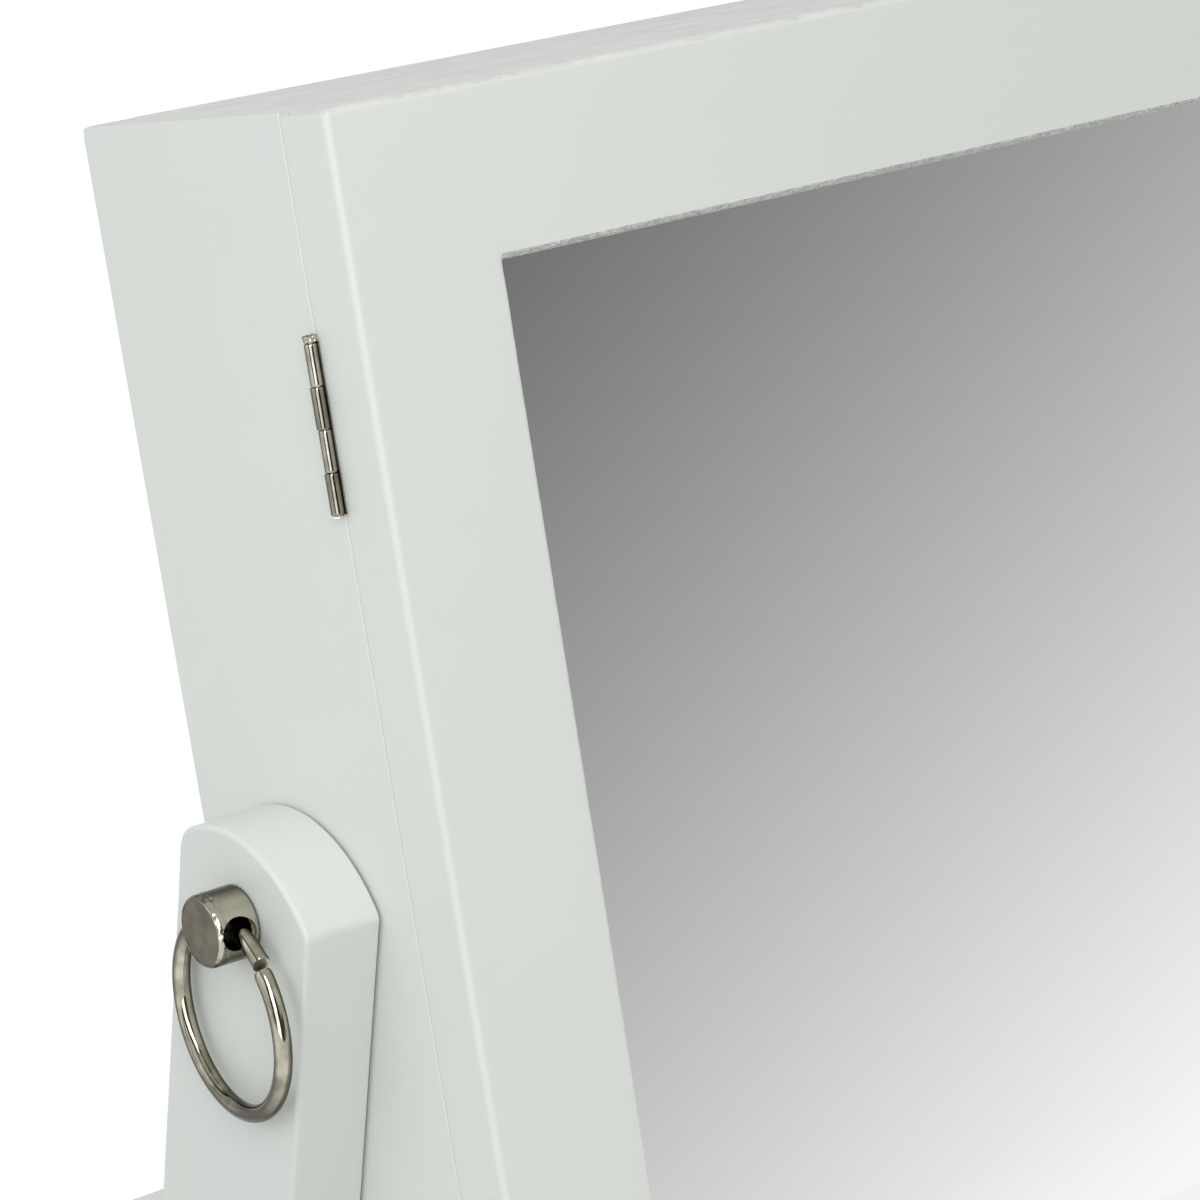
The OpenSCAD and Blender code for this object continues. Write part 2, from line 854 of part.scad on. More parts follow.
module velvet_floor() {
    color(velvet) on_cabinet() block(
        [-lined_x, lined_x],
        [carcass_front + carcass_edge_r, lined_back],
        [inner_bottom, lined_floor]
    );
}

// Shelf, divider and the strips that keep small things in
module shelf() {
    color(paint) on_cabinet()
        block([-lined_x, lined_x], [inner_front, lined_back], [shelf_z, shelf_top]);
}

module divider() {
    color(paint) on_cabinet()
        block([divider_left, divider_right], [inner_front, lined_back], [shelf_top, inner_top]);
}

module guard_strips() {
    color(paint) on_cabinet() for (z = [shelf_z, lined_floor]) {
        drawn_along_x(-lined_x, lined_x) front_rounded_top(z);
    }
}

// Section of a guard strip, with its upper edges rounded
module front_rounded_top(z) {
    difference() {
        translate([inner_front - guard_t, z]) square([guard_t, guard_h]);
        translate([inner_front - guard_t, z + guard_h]) mirror([0, 1]) corner_waste(guard_edge_r);
        translate([inner_front, z + guard_h]) rotate(180) corner_waste(guard_edge_r);
    }
}

// Necklace bar and its hooks
module hook_places() {
    step = (hook_last_x - hook_first_x) / (necklace_hooks_n - 1);
    for (i = [0 : necklace_hooks_n - 1]) {
        translate([hook_first_x + i * step, necklace_bar_y, hook_z]) children();
    }
}

module necklace_bar() {
    color(paint) on_cabinet() difference() {
        drawn_along_x(-lined_x, divider_left)
            front_rounded(necklace_bar_y, lined_back, necklace_bar_z, necklace_bar_top, necklace_bar_edge_r);
        hook_places() bar_y(-over, hook_screw_in + fit, 0, 0, hook_wire_d + fit);
    }
}

module hook_bend(r, start, turn) {
    rotate([90, 0, 90]) rotate(start)
        rotate_extrude(angle = turn) translate([r, 0]) circle(hook_wire_d / 2);
}

// A hook goes straight out of the bar, then bends down, forward and up again
module necklace_hook() {
    cup_y = -hook_neck_l - hook_neck_r - hook_r;
    bar_y(-hook_neck_l, hook_screw_in, 0, 0, hook_wire_d);
    bar_y(-hook_collar_l, 0, 0, 0, hook_wire_d + hook_collar_l);
    translate([0, -hook_neck_l, -hook_neck_r]) hook_bend(hook_neck_r, 90, 90);
    translate([0, cup_y, -hook_neck_r]) hook_bend(hook_r, 180, 180);
    bar_z(-hook_neck_r, hook_tip_l - hook_neck_r, 0, cup_y - hook_r, hook_wire_d);
}

module necklace_hooks() {
    color(nickel) on_cabinet() hook_places() necklace_hook();
}

// Ring cushion: padded rolls on a board, with the rings pushed between the rolls
module ring_board() {
    color(velvet) on_cabinet()
        block([ring_board_x0, ring_board_x1], [ring_board_y, lined_back], [ring_board_z, ring_board_top]);
}

module ring_cushion() {
    roll_y = ring_board_y - roll_d / 2 + roll_flat;
    color(velvet) on_cabinet() for (i = [0 : rolls - 1]) {
        z = ring_board_z + ring_board_rim + (i + 0.5) * roll_pitch;
        drawn_along_x(ring_board_x0 + ring_board_rim, ring_board_x1 - ring_board_rim) intersection() {
            translate([roll_y, z]) circle(roll_d / 2);
            translate([ring_board_y - roll_d, z - roll_d]) square([roll_d, 2 * roll_d]);
        }
    }
}

// Bracelet pegs: turned pegs with a head, standing on the back
module bracelet_pegs() {
    bay = lined_x - divider_right;
    color(timber) on_cabinet() for (i = [0 : pegs - 1]) {
        translate([divider_right + bay * (i + 0.5) / pegs, lined_back, peg_z])
            rotate([90, 0, 0]) rotate_extrude() difference() {
                union() {
                    square([peg_d / 2, peg_l]);
                    translate([0, peg_l - peg_head_l]) square([peg_head_d / 2, peg_head_l]);
                }
                translate([peg_head_d / 2, peg_l]) rotate(180) corner_waste(peg_front_r);
                translate([peg_head_d / 2, peg_l - peg_head_l]) mirror([1, 0])
                    corner_waste(peg_back_r);
            }
    }
}

// Magnetic catch on the right side, and its strike plate on the door
module magnetic_catch() {
    ear_z = catch_body_h / 2 + catch_ear_h;
    color(nylon) on_cabinet() difference() {
        union() {
            block(
                [catch_x, lined_x], [carcass_front, carcass_front + catch_d],
                [catch_z - catch_body_h / 2, catch_z + catch_body_h / 2]
            );
            block(
                [lined_x - catch_ear_t, lined_x], [carcass_front + carcass_edge_r, carcass_front + catch_d],
                [catch_z - ear_z, catch_z + ear_z]
            );
        }
        magnet_box(fit);
        catch_screw_bars(fit);
    }
}

module magnet_box(clear) {
    block(
        [strike_x - magnet_w / 2 - clear, strike_x + magnet_w / 2 + clear],
        [carcass_front - clear, carcass_front + magnet_l + clear],
        [catch_z - magnet_h / 2 - clear, catch_z + magnet_h / 2 + clear]
    );
}

module catch_magnet() {
    color(steel) on_cabinet() magnet_box(0);
}

module catch_screw_bars(clear) {
    for (s = [-1, 1]) {
        z = catch_z + s * catch_screw_z;
        head_x = lined_x - catch_ear_t;
        bar_x(head_x, head_x + catch_screw_l + clear, catch_screw_y, z, wood_screw_d + clear);
    }
}

module catch_screws() {
    head_x = lined_x - catch_ear_t;
    color(steel) on_cabinet() {
        catch_screw_bars(0);
        for (s = [-1, 1]) {
            bar_x(
                head_x - panel_screw_head_l, head_x,
                catch_screw_y, catch_z + s * catch_screw_z, screw_head_d
            );
        }
    }
}

// Hinges: each leaf carries every second knuckle, rolled round the pin
module knuckle_spans(z, first) {
    for (i = [first : 2 : knuckles - 1]) {
        z1 = z + hinge_l - i * knuckle_l - knuckle_gap / 2;
        translate([0, 0, z1 - knuckle_l + knuckle_gap]) children();
    }
}

module hinge_leaf(z, first, leaf_y) {
    own_h = knuckle_l - knuckle_gap;
    head_y = leaf_y < hinge_y ? leaf_y + leaf_t : leaf_y;
    into = leaf_y < hinge_y ? -1 : 1;
    color(nickel) on_cabinet() difference() {
        union() {
            block([hinge_x + knuckle_room, leaf_end_x - fit], [leaf_y, leaf_y + leaf_t], [z, z + hinge_l]);
            knuckle_spans(z, first) {
                translate([hinge_x, hinge_y, 0]) cylinder(h = own_h, r = knuckle_r);
                block([hinge_x, hinge_x + 2 * knuckle_room], [leaf_y, leaf_y + leaf_t], [0, own_h]);
            }
        }
        bar_z(z - over, z + hinge_l + over, hinge_x, hinge_y, pin_bore_d);
        leaf_screw_places(z, head_y) countersunk(into, fit);
    }
}

module leaf_screw_places(z, head_y) {
    span = hinge_l - 2 * leaf_screw_margin;
    for (i = [0 : leaf_screws - 1]) {
        translate([-half_w + leaf_screw_x, head_y, z + leaf_screw_margin + span * i / (leaf_screws - 1)])
            children();
    }
}

// A countersunk screw that goes from its head at the origin along Y
module countersunk(into, clear) {
    head_h = leaf_t * countersink_share;
    rotate([-90 * into, 0, 0]) {
        translate([0, 0, clear > 0 ? -clear : 0])
            cylinder(h = wood_screw_l + 2 * clear, d = wood_screw_d + clear);
        cylinder(h = head_h, d1 = screw_head_d + clear, d2 = wood_screw_d + clear);
    }
}

// The room that a hinge takes out of the carcass or the door
module hinge_room(z, y0, y1) {
    block([-half_w - over, leaf_end_x], [y0, y1], [z - fit, z + hinge_l + fit]);
    translate([hinge_x, hinge_y, z - pin_tip - slack])
        cylinder(h = hinge_l + 2 * (pin_tip + slack), r = knuckle_room);
}

module hinge_screw_holes(z, head_y, into) {
    leaf_screw_places(z, head_y) countersunk(into, fit);
}

module hinge_pin(z) {
    color(nickel) on_cabinet() {
        bar_z(z - pin_tip, z + hinge_l + fit, hinge_x, hinge_y, hinge_pin_d);
        bar_z(z + hinge_l + running, z + hinge_l + pin_head_l, hinge_x, hinge_y, pin_head_d);
    }
}

module upper_hinge_cabinet_leaf() {
    hinge_leaf(upper_hinge_z, 0, carcass_front);
}

module lower_hinge_cabinet_leaf() {
    hinge_leaf(lower_hinge_z, 0, carcass_front);
}

module upper_hinge_door_leaf() {
    hinge_leaf(upper_hinge_z, 1, door_back - leaf_t);
}

module lower_hinge_door_leaf() {
    hinge_leaf(lower_hinge_z, 1, door_back - leaf_t);
}

module upper_hinge_pin() {
    hinge_pin(upper_hinge_z);
}

module lower_hinge_pin() {
    hinge_pin(lower_hinge_z);
}

module hinge_screws_cabinet() {
    color(nickel) on_cabinet() for (z = [upper_hinge_z, lower_hinge_z]) {
        leaf_screw_places(z, carcass_front) countersunk(1, 0);
    }
}

module hinge_screws_door() {
    color(nickel) on_cabinet() for (z = [upper_hinge_z, lower_hinge_z]) {
        leaf_screw_places(z, door_back) countersunk(-1, 0);
    }
}

// Door frame: one board with rounded front edges and an opening, routed out behind for the mirror
module door_block() {
    intersection() {
        translate([0, 0, cab_bottom]) linear_extrude(cabinet_h)
            front_rounded(-half_w, half_w, door_front, door_back, door_edge_r);
        drawn_along_x(-half_w, half_w) rotate(-90) mirror([1, 0])
            front_rounded(cab_bottom, cab_top, door_front, door_back, door_edge_r);
    }
}

module mirror_opening() {
    deep = door_front + frame_lip_t + over;
    intersection() {
        translate([0, 0, cab_bottom]) linear_extrude(cabinet_h)
            front_flared(-opening_x, opening_x, door_front, deep, mirror_edge_r);
        drawn_along_x(-half_w, half_w) rotate(-90) mirror([1, 0])
            front_flared(opening_bottom, opening_top, door_front, deep, mirror_edge_r);
    }
}

module door_frame() {
    color(paint) on_cabinet() difference() {
        door_block();
        mirror_opening();
        block([-pocket_x, pocket_x], [glass_y, door_back + over], [pocket_bottom, pocket_top]);
        for (z = [upper_hinge_z, lower_hinge_z]) {
            hinge_room(z, door_back - leaf_t, door_back + over);
            hinge_screw_holes(z, door_back, -1);
        }
        bar_y(door_front - over, door_back + over, door_knob_x, door_knob_z, door_knob_screw_d + fit);
        bar_y(
            door_back - door_knob_screw_head_l - slack, door_back + over,
            door_knob_x, door_knob_z, door_knob_screw_head_d + fit
        );
        strike_box(fit);
        strike_screw_places() countersunk(-1, fit);
    }
}

// A sheet that lies in the pocket behind the frame
module pocket_sheet(y, t) {
    block(
        [-pocket_x + slack, pocket_x - slack], [y, y + t],
        [pocket_bottom + slack, pocket_top - slack]
    );
}

module mirror_glass() {
    color(silver) on_cabinet() pocket_sheet(glass_y, glass_t);
}

module mirror_backing() {
    color(board_brown) on_cabinet() pocket_sheet(backing_y, backing_t);
}

module door_velvet() {
    color(velvet) on_cabinet() pocket_sheet(door_panel_y, door_panel_t);
}

// Four beads, mitred at the corners, that hold the sheets in the pocket
module panel_beads() {
    color(paint) on_cabinet() difference() {
        pocket_sheet(door_panel_back, door_back - door_panel_back);
        block(
            [-pocket_x + slack + bead_w, pocket_x - slack - bead_w],
            [door_panel_back - over, door_back + over],
            [pocket_bottom + slack + bead_w, pocket_top - slack - bead_w]
        );
        for (sx = [-1, 1], z = [pocket_bottom + slack, pocket_top - slack]) {
            turn = sx * (z > cab_middle ? 1 : -1) * 45;
            translate([sx * (pocket_x - slack), (door_panel_back + door_back) / 2, z])
                rotate([0, -turn, 0]) cube([4 * bead_w, 4 * bead_w, mitre_gap], center = true);
        }
    }
}

// Earring rails: strips with two rows of holes, on posts
module earring_rail(z) {
    step = earring_rail_l / (earring_holes + 1);
    row = earring_rail_h / 4;
    color(paint) on_cabinet() difference() {
        block(
            [-earring_rail_l / 2, earring_rail_l / 2], [earring_rail_y, earring_rail_back],
            [z - earring_rail_h / 2, z + earring_rail_h / 2]
        );
        for (i = [1 : earring_holes], s = [-1, 1]) {
            bar_y(
                earring_rail_y - over, earring_rail_back + over,
                -earring_rail_l / 2 + i * step, z + s * row, earring_hole_d
            );
        }
    }
}

module upper_earring_rail() {
    earring_rail(upper_rail_z);
}

module lower_earring_rail() {
    earring_rail(lower_rail_z);
}

module earring_rail_posts() {
    color(nickel) on_cabinet() for (s = [-1, 1], z = [upper_rail_z, lower_rail_z]) {
        x = s * (earring_rail_l / 2 - earring_post_inset);
        bar_y(door_panel_back, earring_rail_y, x, z, earring_post_d);
    }
}

// Door knob, turned, with a domed head
module door_knob() {
    head_r = door_knob_d / 2;
    color(nickel) on_cabinet() difference() {
        translate([door_knob_x, door_front, door_knob_z]) rotate([90, 0, 0]) rotate_extrude()
            difference() {
                union() {
                    square([door_knob_foot_d / 2, door_knob_foot_l]);
                    square([door_knob_neck_d / 2, door_knob_l - door_knob_head_l + over]);
                    intersection() {
                        translate([0, door_knob_l - door_knob_head_l]) square([head_r, door_knob_head_l]);
                        translate([0, door_knob_l - door_knob_dome_r]) circle(door_knob_dome_r);
                    }
                }
                translate([head_r, door_knob_l - door_knob_head_l]) mirror([1, 0])
                    corner_waste(door_knob_edge_r);
                translate([-door_knob_d, -over]) square([door_knob_d, door_knob_l + 2 * over]);
            }
        bar_y(
            door_front - door_knob_screw_in - slack, door_front + over,
            door_knob_x, door_knob_z, door_knob_screw_d + fit
        );
    }
}

module door_knob_screw() {
    head_y = door_back - slack;
    color(steel) on_cabinet() {
        bar_y(door_front - door_knob_screw_in, head_y - fit, door_knob_x, door_knob_z, door_knob_screw_d);
        bar_y(head_y - door_knob_screw_head_l, head_y, door_knob_x, door_knob_z, door_knob_screw_head_d);
    }
}

module strike_box(clear) {
    block(
        [strike_x - strike_w / 2 - clear, strike_x + strike_w / 2 + clear],
        [door_back - strike_t, door_back + clear],
        [catch_z - strike_h / 2 - clear, catch_z + strike_h / 2 + clear]
    );
}

module strike_screw_places() {
    for (s = [-1, 1]) {
        translate([strike_x, door_back, catch_z + s * (strike_h / 2 - strike_screw_inset)]) children();
    }
}

module strike_plate() {
    color(steel) on_cabinet() difference() {
        strike_box(0);
        strike_screw_places() countersunk(-1, fit);
    }
}

module strike_screws() {
    color(steel) on_cabinet() strike_screw_places() countersunk(-1, 0);
}

side_board_left();
side_board_right();
base_board();
front_rail();
back_rail();
base_felt();
stand_screws();
screw_caps();
left_pivot_washer();
right_pivot_washer();
left_clamp_knob();
right_clamp_knob();
left_pull_ring();
right_pull_ring();
carcass_side_left();
carcass_side_right();
carcass_top();
carcass_bottom();
carcass_dowels();
back_panel();
back_panel_screws();
left_threaded_insert();
right_threaded_insert();
velvet_back();
velvet_left();
velvet_right();
velvet_floor();
shelf();
divider();
guard_strips();
necklace_bar();
necklace_hooks();
ring_board();
ring_cushion();
bracelet_pegs();
magnetic_catch();
catch_magnet();
catch_screws();
upper_hinge_cabinet_leaf();
lower_hinge_cabinet_leaf();
upper_hinge_pin();
lower_hinge_pin();
hinge_screws_cabinet();
door_frame();
mirror_glass();
mirror_backing();
door_velvet();
panel_beads();
upper_earring_rail();
lower_earring_rail();
earring_rail_posts();
door_knob();
door_knob_screw();
strike_plate();
strike_screws();
upper_hinge_door_leaf();
lower_hinge_door_leaf();
hinge_screws_door();
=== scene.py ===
import math

import bmesh
import bpy
from mathutils import Matrix, Vector, noise


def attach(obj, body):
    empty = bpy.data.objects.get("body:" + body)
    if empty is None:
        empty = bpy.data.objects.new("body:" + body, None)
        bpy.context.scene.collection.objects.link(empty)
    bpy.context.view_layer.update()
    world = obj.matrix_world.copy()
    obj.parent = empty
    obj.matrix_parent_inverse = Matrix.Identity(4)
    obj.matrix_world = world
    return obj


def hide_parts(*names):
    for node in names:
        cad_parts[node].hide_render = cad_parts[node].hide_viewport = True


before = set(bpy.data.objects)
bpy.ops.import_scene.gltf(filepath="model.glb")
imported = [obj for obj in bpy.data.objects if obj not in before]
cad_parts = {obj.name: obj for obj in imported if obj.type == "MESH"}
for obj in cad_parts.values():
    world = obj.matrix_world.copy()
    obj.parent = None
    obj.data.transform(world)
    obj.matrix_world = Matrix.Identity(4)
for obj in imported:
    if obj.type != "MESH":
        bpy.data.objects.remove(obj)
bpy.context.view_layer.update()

# Sizes in millimetres, most of them as in the part's source
MM = 0.001
LEAN = math.radians(22.5)
PIVOT_Z = 184.5

# Carcass, in the cabinet's own frame: X across, Y to the back, Z up from the pivot
HALF_W = 125.0
CAB_TOP, CAB_BOTTOM = 149.5, -150.5
CAB_MIDDLE, HEIGHT = (CAB_TOP + CAB_BOTTOM) / 2, CAB_TOP - CAB_BOTTOM
CARCASS_FRONT, CARCASS_BACK = -33.0, 39.0
BOARD_T, BACK_T, REBATE, LINING_T = 12.0, 3.0, 6.0, 1.5
SEAM_FILL = 0.42  # how far the carcass's paint stands forward, to leave a hairline beside the door
INNER_X = HALF_W - BOARD_T
INNER_TOP, INNER_BOTTOM = CAB_TOP - BOARD_T, CAB_BOTTOM + BOARD_T
LINED_X, LINED_BACK = INNER_X - LINING_T, CARCASS_BACK - BACK_T - LINING_T
PIVOT_BORE_R = 4.7

# Door
DOOR_FRONT, DOOR_BACK = -48.5, -33.5
DOOR_SET_IN = 0.15
FRAME_W, LIP_W, LIP_T = 33.0, 6.0, 4.0
FRAME_FRONT_R, FRAME_INNER_R, FRAME_BACK_R = 1.4, 1.2, 0.3
POCKET_X = HALF_W - FRAME_W + LIP_W
POCKET_TOP, POCKET_BOTTOM = CAB_TOP - FRAME_W + LIP_W, CAB_BOTTOM + FRAME_W - LIP_W
PANEL_FRONT, PANEL_BACK = -38.5, -35.5
DOOR_KNOB_X = 108.5
STRIKE_X, STRIKE_Z, STRIKE_T = (101.3, 110.7), (23.8, 56.2), 1.2

# Stand; its shoulder and neck are set to the photograph
STAND_INNER, STAND_OUTER = 125.6, 142.0
STAND_HALF_D = 81.0
FELT_T, BASE_TOP, RAIL_TOP = 1.5, 13.5, 25.5
FOOT_CORNER_R = 10
NECK_FRONT, NECK_BACK, NECK_RISE, NECK_ARC_H, NECK_CORNER_R = 21.7, 22.4, 16.5, 9.0, 7.0
SHOULDER_DROP, SHOULDER_BACK = 82.6, 23.3
STUD_BORE_R = 3.05
CAP_PLACES = ((-73.0, 13.5), (-34.0, 7.5), (34.0, 7.5), (70.0, 13.5))

# Clamp knobs and pull rings
KNOB_SEAT, KNOB_FACE, KNOB_R = 142.2, 151.2, 7.2
STUD_END, STUD_R = HALF_W - 9.0, 2.98
HOLE_X, HOLE_R = 146.8, 3.1
KNOB_TURN, DRILL_TURN = math.radians(12.0), math.radians(17.0)
RING_R, WIRE_R, RING_SIDES = 19.2, 1.8, 24
RING_X, RING_UP = 145.55, 0.62
RING_SLANT, ENDS_APART = 0.04, 0.61

# Hinges
HINGE_X, HINGE_Y = -126.2, -33.25
HINGE_L, HINGE_INSET, BARREL_L = 33.5, 40.0, 31.8
HINGE_SEATS = {"upper": CAB_TOP - HINGE_INSET - HINGE_L, "lower": CAB_BOTTOM + HINGE_INSET}
LEAF_W, LEAF_T = 11.0, 0.7
KNUCKLE_R, KNUCKLE_GAP, PIN_R = 1.3, 0.14, 0.65

# Inside
DIVIDER_X = (1.0, 7.0)
NECK_HOOKS, HOOK_INSET, HOOK_WIRE_R, HOOK_R = 5, 14, 0.9, 4.5
BAR_D, BAR_DROP, BAR_HALF_H = 12, 5, 8
HOOK_Z = INNER_TOP - BAR_DROP - BAR_HALF_H
RING_BOARD_X, RING_BOARD_Y, RING_BOARD_Z = (13.0, 105.5), (31.5, 34.5), (46.1, 130.5)
ROLLS, ROLL_PITCH, ROLL_R, ROLL_Y = 6, 13.4, 6.5, 27.0
PEGS, PEG_Z = 2, 24.1

# View of the photograph: from the front left and above; angles in degrees
VIEW_FROM = (-540.7, -581.61, 632.77)
VIEW_TURN, VIEW_DOWN, VIEW_ROLL = -39.465, 27.976, 5.284


# Places on the object: the stand is upright, the cabinet leans back about the pivot
def upright(x, y, z):
    return Vector((x, y, z)) * MM


def leaning(x, y, z):
    c, s = math.cos(LEAN), math.sin(LEAN)
    return Vector((x, y * c + z * s, PIVOT_Z - y * s + z * c)) * MM


# Camera, fitted to the edges that the photograph shows
camera_data = bpy.data.cameras.new("camera")
camera = bpy.data.objects.new("camera", camera_data)
bpy.context.scene.collection.objects.link(camera)
bpy.context.scene.camera = camera
camera_data.sensor_width = 36
camera_data.lens = 132
camera_data.clip_start = 0.01
camera_data.clip_end = 50
camera.matrix_world = (
    Matrix.Translation(upright(*VIEW_FROM))
    @ Matrix.Rotation(math.radians(VIEW_TURN), 4, "Z")
    @ Matrix.Rotation(math.radians(90 - VIEW_DOWN), 4, "X")
    @ Matrix.Rotation(math.radians(VIEW_ROLL), 4, "Z")
)


# Shader nodes
def shader(tree, kind, inputs=None, **settings):
    made = tree.nodes.new(kind)
    for key, value in settings.items():
        setattr(made, key, value)
    for key, value in (inputs or {}).items():
        join(tree, value, made.inputs[key])
    return made


def join(tree, value, socket):
    """Links a socket, or sets a number or colour."""
    if isinstance(value, bpy.types.NodeSocket):
        tree.links.new(value, socket)
    elif isinstance(value, tuple) and len(value) == 3 and socket.type == "RGBA":
        socket.default_value = (*value, 1)
    else:
        socket.default_value = value


def mix_colour(tree, fac, a, b, blend="MIX"):
    made = shader(tree, "ShaderNodeMix", {0: fac, 6: a, 7: b}, data_type="RGBA", blend_type=blend)
    return made.outputs[2]


def maths(tree, operation, a, b=0.0):
    return shader(tree, "ShaderNodeMath", {0: a, 1: b}, operation=operation).outputs[0]


def spread(tree, value, low, high, to_low, to_high):
    """Maps a value from low..high to to_low..to_high, and holds it there."""
    return shader(tree, "ShaderNodeMapRange", {
        "Value": value, "From Min": low, "From Max": high, "To Min": to_low, "To Max": to_high,
    }).outputs["Result"]


def stops(tree, fac, places):
    """A ramp through (place, grey) pairs."""
    made = shader(tree, "ShaderNodeValToRGB", {"Fac": fac})
    elements = made.color_ramp.elements
    while len(elements) < len(places):
        elements.new(0.5)
    for element, (place, grey) in zip(elements, places):
        element.position = place
        element.color = (grey, grey, grey, 1)
    return made.outputs["Color"]


def place_of(tree, stretch=None):
    place = shader(tree, "ShaderNodeTexCoord").outputs["Object"]
    if stretch:
        place = shader(tree, "ShaderNodeMapping", {"Vector": place, "Scale": stretch}).outputs["Vector"]
    return place


def noise_of(tree, scale, detail=3.0, rough=0.5, stretch=None, distortion=0.0):
    return shader(tree, "ShaderNodeTexNoise", {
        "Vector": place_of(tree, stretch), "Scale": scale, "Detail": detail,
        "Roughness": rough, "Distortion": distortion,
    }).outputs["Fac"]


def effect(name, inputs, outputs, build):
    """A shader node group; build(tree, input sockets) returns a socket for each output."""
    tree = bpy.data.node_groups.new(name, "ShaderNodeTree")
    for label, value in inputs.items():
        kind = "NodeSocketColor" if isinstance(value, tuple) else "NodeSocketFloat"
        socket = tree.interface.new_socket(label, in_out="INPUT", socket_type=kind)
        socket.default_value = (*value, 1) if isinstance(value, tuple) else value
    for label in outputs:
        kind = "NodeSocketColor" if label == "Colour" else "NodeSocketFloat"
        tree.interface.new_socket(label, in_out="OUTPUT", socket_type=kind)
    entry = shader(tree, "NodeGroupInput")
    shader(tree, "NodeGroupOutput", dict(zip(outputs, build(tree, entry.outputs))))
    return tree


def use(tree, group, **inputs):
    made = shader(tree, "ShaderNodeGroup", node_tree=group)
    for key, value in inputs.items():
        join(tree, value, made.inputs[key])
    return made.outputs


def clouds(tree, sockets):
    """Slow changes of tone, a few centimetres across."""
    value = spread(tree, noise_of(tree, sockets["Scale"], 2.0), 0.35, 0.65, 0.0, 1.0)
    return [mix_colour(tree, value, sockets["Light"], sockets["Dark"])]


def orange_peel(tree, sockets):
    """The skin of sprayed paint: low soft bumps with a finer grit on them."""
    soft = noise_of(tree, sockets["Scale"], 1.0)
    grit = noise_of(tree, maths(tree, "MULTIPLY", sockets["Scale"], 5.0), 2.0)
    return [maths(tree, "ADD", soft, maths(tree, "MULTIPLY", grit, sockets["Grit"]))]


def specks(tree, sockets):
    """Few tiny dark specks, dust caught in the paint."""
    cells = shader(tree, "ShaderNodeTexVoronoi", {"Vector": place_of(tree), "Scale": sockets["Scale"]})
    near = maths(tree, "LESS_THAN", cells.outputs["Distance"], sockets["Size"])
    kind = shader(tree, "ShaderNodeSeparateColor", {"Color": cells.outputs["Color"]}).outputs[0]
    return [maths(tree, "MULTIPLY", near, maths(tree, "GREATER_THAN", kind, sockets["Rarity"]))]


def smudges(tree, sockets):
    """Faint smears of handling, as a change of roughness."""
    smear = noise_of(tree, sockets["Scale"], 4.0, 0.6, distortion=1.2)
    return [spread(tree, smear, 0.3, 0.7, sockets["Least"], sockets["Most"])]


def fine_lines(tree, sockets):
    """Polishing lines along the object's X axis."""
    return [noise_of(tree, sockets["Scale"], 3.0, 0.6, (0.06, 1.0, 1.0))]


def pile(tree, sockets):
    """Short velvet pile: fine tufts, and slow streaks where it lies the other way."""
    tufts = noise_of(tree, sockets["Scale"], 2.0, 0.7)
    lay = spread(tree, noise_of(tree, 26.0, 3.0, 0.55, distortion=0.8), 0.35, 0.65, 0.0, 1.0)
    colour = mix_colour(tree, lay, sockets["Dark"], sockets["Light"])
    return [mix_colour(tree, maths(tree, "MULTIPLY", tufts, 0.5), colour, sockets["Dark"]), tufts]


def timber_grain(tree, sockets):
    """Fibres and pores along the object's X axis."""
    fibres = noise_of(tree, sockets["Scale"], 5.0, 0.6, (0.05, 1.0, 1.0))
    return [mix_colour(tree, fibres, sockets["Light"], sockets["Dark"]), fibres]


def painted_dark_outline(tree, sockets):
    """Painted dark reflection: darkens a shiny round piece's colour towards its outline, in place of the
    dark surroundings it would reflect there; Facing comes from the material's own node.
    """
    share = spread(tree, sockets["Facing"], 0.26, 0.58, 0.0, 1.0)
    return [mix_colour(tree, share, sockets["Middle"], sockets["Rim"])]


WHITE, GREY = (0.8, 0.8, 0.8), (0.5, 0.5, 0.5)
CLOUDS = effect("slow_clouds", {"Scale": 9.0, "Light": WHITE, "Dark": GREY}, ["Colour"], clouds)
ORANGE_PEEL = effect("orange_peel", {"Scale": 700.0, "Grit": 0.2}, ["Height"], orange_peel)
SPECKS = effect("paint_specks", {"Scale": 40.0, "Size": 0.02, "Rarity": 0.9}, ["Mask"], specks)
SMUDGES = effect("smudges", {"Scale": 30.0, "Least": 0.3, "Most": 0.4}, ["Roughness"], smudges)
FINE_LINES = effect("fine_lines", {"Scale": 2500.0}, ["Height"], fine_lines)
PILE = effect("velvet_pile", {"Scale": 2600.0, "Light": WHITE, "Dark": GREY}, ["Colour", "Height"], pile)
GRAIN = effect("timber_grain", {"Scale": 900.0, "Light": WHITE, "Dark": GREY}, ["Colour", "Height"],
               timber_grain)
PAINTED_DARK_OUTLINE = effect("painted_dark_outline", {"Facing": 0.0, "Middle": WHITE, "Rim": GREY}, ["Colour"], painted_dark_outline)


def finish(name, build):
    """A material; build(tree, principled) connects its effects."""
    material = bpy.data.materials.new(name)
    material.use_nodes = True
    tree = material.node_tree
    tree.nodes.clear()
    principled = shader(tree, "ShaderNodeBsdfPrincipled")
    shader(tree, "ShaderNodeOutputMaterial", {"Surface": principled.outputs[0]})
    build(tree, principled)
    return material


def bump(tree, principled, height, strength, distance):
    made = shader(tree, "ShaderNodeBump", {"Height": height, "Strength": strength, "Distance": distance})
    join(tree, made.outputs["Normal"], principled.inputs["Normal"])


